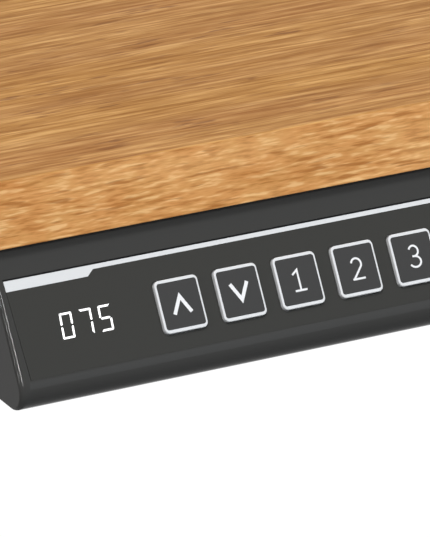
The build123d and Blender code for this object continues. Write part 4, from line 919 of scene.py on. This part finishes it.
# %% Pads, boards and display
PAD_TOP = 8.3 * MM
PAD_SKIN_PER_METRE = 400.0
PAD_RELIEF = 0.02 * MM
PAD_RUBBER = [(0.3, tone(28, 28, 28)), (0.7, tone(40, 40, 40))]
PAD_STUD = [(0.3, (0.5, 0.5, 0.49, 1.0)), (0.7, (0.64, 0.64, 0.62, 1.0))]
TRACK_WAVES = {"Scale": 160.0, "Distortion": 2.0}
TRACK_BENDS = (60.0, 60.0, 60.0)
TRACK_SWAY = 6.0 * MM
TRACK_RELIEF = 0.02 * MM
BOARD_TONE = tone(22, 78, 48)
TRACK_TONE = tone(46, 112, 66)
LENS_GRAIN = (9000.0, 0.001 * MM)


def levelling_finish():
    """Black rubber up to the pad's top, and zinc above it."""
    finish, tree, shader = start_finish("pad_rubber", tone(34, 34, 34), 0.7, Specular_IOR_Level=0.3)
    place = object_place(tree)
    height = add_node(tree, "SeparateXYZ", {"Vector": place}).outputs["Z"]
    stud = worked_out(tree, "GREATER_THAN", height, PAD_TOP)
    clouds = stretched_noise(tree, place, (PAD_SKIN_PER_METRE,) * 3)
    rubber = colour_steps(tree, clouds, PAD_RUBBER)
    plated = colour_steps(tree, clouds, PAD_STUD)
    tree.links.new(blend_colours(tree, stud, rubber, plated), shader.inputs["Base Color"])
    tree.links.new(stud, shader.inputs["Metallic"])
    tree.links.new(grey_steps(tree, stud, (0.0, 0.7), (1.0, 0.36)), shader.inputs["Roughness"])
    add_relief(tree, shader, clouds, PAD_RELIEF)
    return finish


def board_finish():
    """Green lacquer over fine copper tracks."""
    finish, tree, shader = start_finish("board", BOARD_TONE, 0.35)
    waves = {"Vector": bent_place(tree, object_place(tree), TRACK_BENDS, TRACK_SWAY), **TRACK_WAVES}
    across, along = (add_node(tree, "TexWave", waves, bands_direction=axis).outputs["Fac"] for axis in "XY")
    tracks = worked_out(tree, "MULTIPLY", across, along)
    lacquer = colour_steps(tree, tracks, [(0.45, BOARD_TONE), (0.6, TRACK_TONE)])
    tree.links.new(lacquer, shader.inputs["Base Color"])
    add_relief(tree, shader, tracks, TRACK_RELIEF)
    return finish


pads = levelling_finish()
for side in SIDES:
    dress(pads, f"{side}_front_leveler", f"{side}_rear_leveler")
dress(board_finish(), "handset_board", "control_board")
dress(moulded_finish("display", tone(24, 24, 25), 0.15, LENS_GRAIN), "led_display")
print("dressed the pads, the boards and the display")

# %% [markdown]
# ## Studio
# The desk stands on a pale floor in an even room. The floor and the room look white to the camera and to
# reflections, and near the desk the floor still shows its shadow. Light that only bounces off them is held
# back, so that the underside of the hand switch stays dark. A key lamp high at the front makes the shadow
# under the front edge, and wide lamps above, at the right and in front fill it. Two narrow lamps at the left
# are small but bright: they draw the thin bright line in the rounded left end of the hand switch.

# %% Floor
FLOOR_SIZE = 40.0
FLOOR_BOUNCE = (0.26, 0.26, 0.26, 1.0)
FLOOR_PALE = (0.9, 0.9, 0.9, 1.0)
FLOOR_STRENGTH = 1.15
FLOOR_GLOW = 0.7
SHADE_END = 1.0
WHITE_START = 2.6


def seen_rays(tree):
    """1 for what the camera sees, directly, mirrored or through glass, and 0 for light that bounces."""
    rays = add_node(tree, "LightPath").outputs
    seen = rays["Is Camera Ray"]
    for kind in ("Is Glossy Ray", "Is Transmission Ray"):
        seen = worked_out(tree, "MAXIMUM", seen, rays[kind])
    return seen


def floor_finish():
    """Pale and half glowing near the desk, where its shadow falls, and plain white further away."""
    finish, tree, shader = start_finish("studio_floor", FLOOR_BOUNCE, 0.9, Specular_IOR_Level=0.0)
    pale = add_node(tree, "BsdfDiffuse", {"Color": FLOOR_PALE}).outputs["BSDF"]
    glow = add_node(tree, "Emission", {"Color": WHITE, "Strength": FLOOR_STRENGTH}).outputs["Emission"]
    away = add_node(tree, "VectorMath", {0: object_place(tree)}, operation="LENGTH").outputs["Value"]
    spread = {"From Min": SHADE_END, "From Max": WHITE_START, "To Min": FLOOR_GLOW, "To Max": 1.0}
    glow_share = add_node(tree, "MapRange", {"Value": away, **spread}).outputs["Result"]
    white_floor = add_node(tree, "MixShader", {0: glow_share, 1: pale, 2: glow}).outputs["Shader"]
    shown = add_node(tree, "MixShader", {0: seen_rays(tree), 1: shader.outputs["BSDF"], 2: white_floor})
    tree.links.new(shown.outputs["Shader"], tree.nodes["Material Output"].inputs["Surface"])
    return finish


bpy.ops.object.select_all(action="DESELECT")
bpy.ops.mesh.primitive_plane_add(size=FLOOR_SIZE, location=(0, 0, cad_low.z))
floor = bpy.context.object
floor.name = "studio_floor"
floor.data.materials.append(floor_finish())
print("floor at", cad_low.z)

# %% World
ROOM_TONES = [(0.0, (0.27, 0.28, 0.29, 1.0)), (0.6, (0.3, 0.3, 0.3, 1.0))]

world = bpy.data.worlds.new("studio")
bpy.context.scene.world = world
world.use_nodes = True
world_tree = world.node_tree
direction = add_node(world_tree, "TexCoord").outputs["Generated"]
rise = add_node(world_tree, "SeparateXYZ", {"Vector": direction}).outputs["Z"]
sky = world_tree.nodes["Background"]
world_tree.links.new(colour_steps(world_tree, rise, ROOM_TONES), sky.inputs["Color"])
white = add_node(world_tree, "Background", {"Color": WHITE, "Strength": 1.0}).outputs["Background"]
pick = add_node(world_tree, "MixShader", {0: seen_rays(world_tree), 1: sky.outputs["Background"], 2: white})
world_tree.links.new(pick.outputs["Shader"], world_tree.nodes["World Output"].inputs["Surface"])
print("the room is", ROOM_TONES[0][1][0], "to", ROOM_TONES[1][1][0], "of white")

# %% Lamps
COOL_LIGHT = (0.88, 0.94, 1.0)


def soft_lamp(name, place, target, size, power, colour=WHITE[:3]):
    """A soft lamp of some width and height that faces a point."""
    data = bpy.data.lights.new(name, "AREA")
    data.shape = "RECTANGLE"
    data.size, data.size_y = size
    data.energy = power
    data.color = colour
    lamp = bpy.data.objects.new(name, data)
    lamp.location = place
    lamp.rotation_euler = (Vector(target) - Vector(place)).to_track_quat("-Z", "Y").to_euler()
    bpy.context.scene.collection.objects.link(lamp)


desk_middle = (cad_low + cad_high) / 2
soft_lamp("key_lamp", (-0.4, -1.6, 4.0), switch_corner, (1.1, 1.1), 76.0)
soft_lamp("line_lamp", (-1.74, -2.9, 2.69), switch_corner, (0.36, 0.14), 42.0)
soft_lamp("top_lamp", (0.0, -0.75, 3.6), switch_corner, (1.6, 1.6), 4.0)
soft_lamp("fill_lamp", (3.2, -2.0, 2.2), desk_middle, (2.4, 2.4), 10.0)
soft_lamp("front_lamp", (1.9, -2.9, 1.3), switch_corner, (1.7, 1.7), 25.0, COOL_LIGHT)
soft_lamp("side_lamp", (-1.98, -0.99, 1.44), switch_corner, (0.13, 0.06), 7.0)
bpy.context.scene.view_settings.view_transform = "Standard"
print("lit the studio with", len(bpy.data.lights), "lamps")
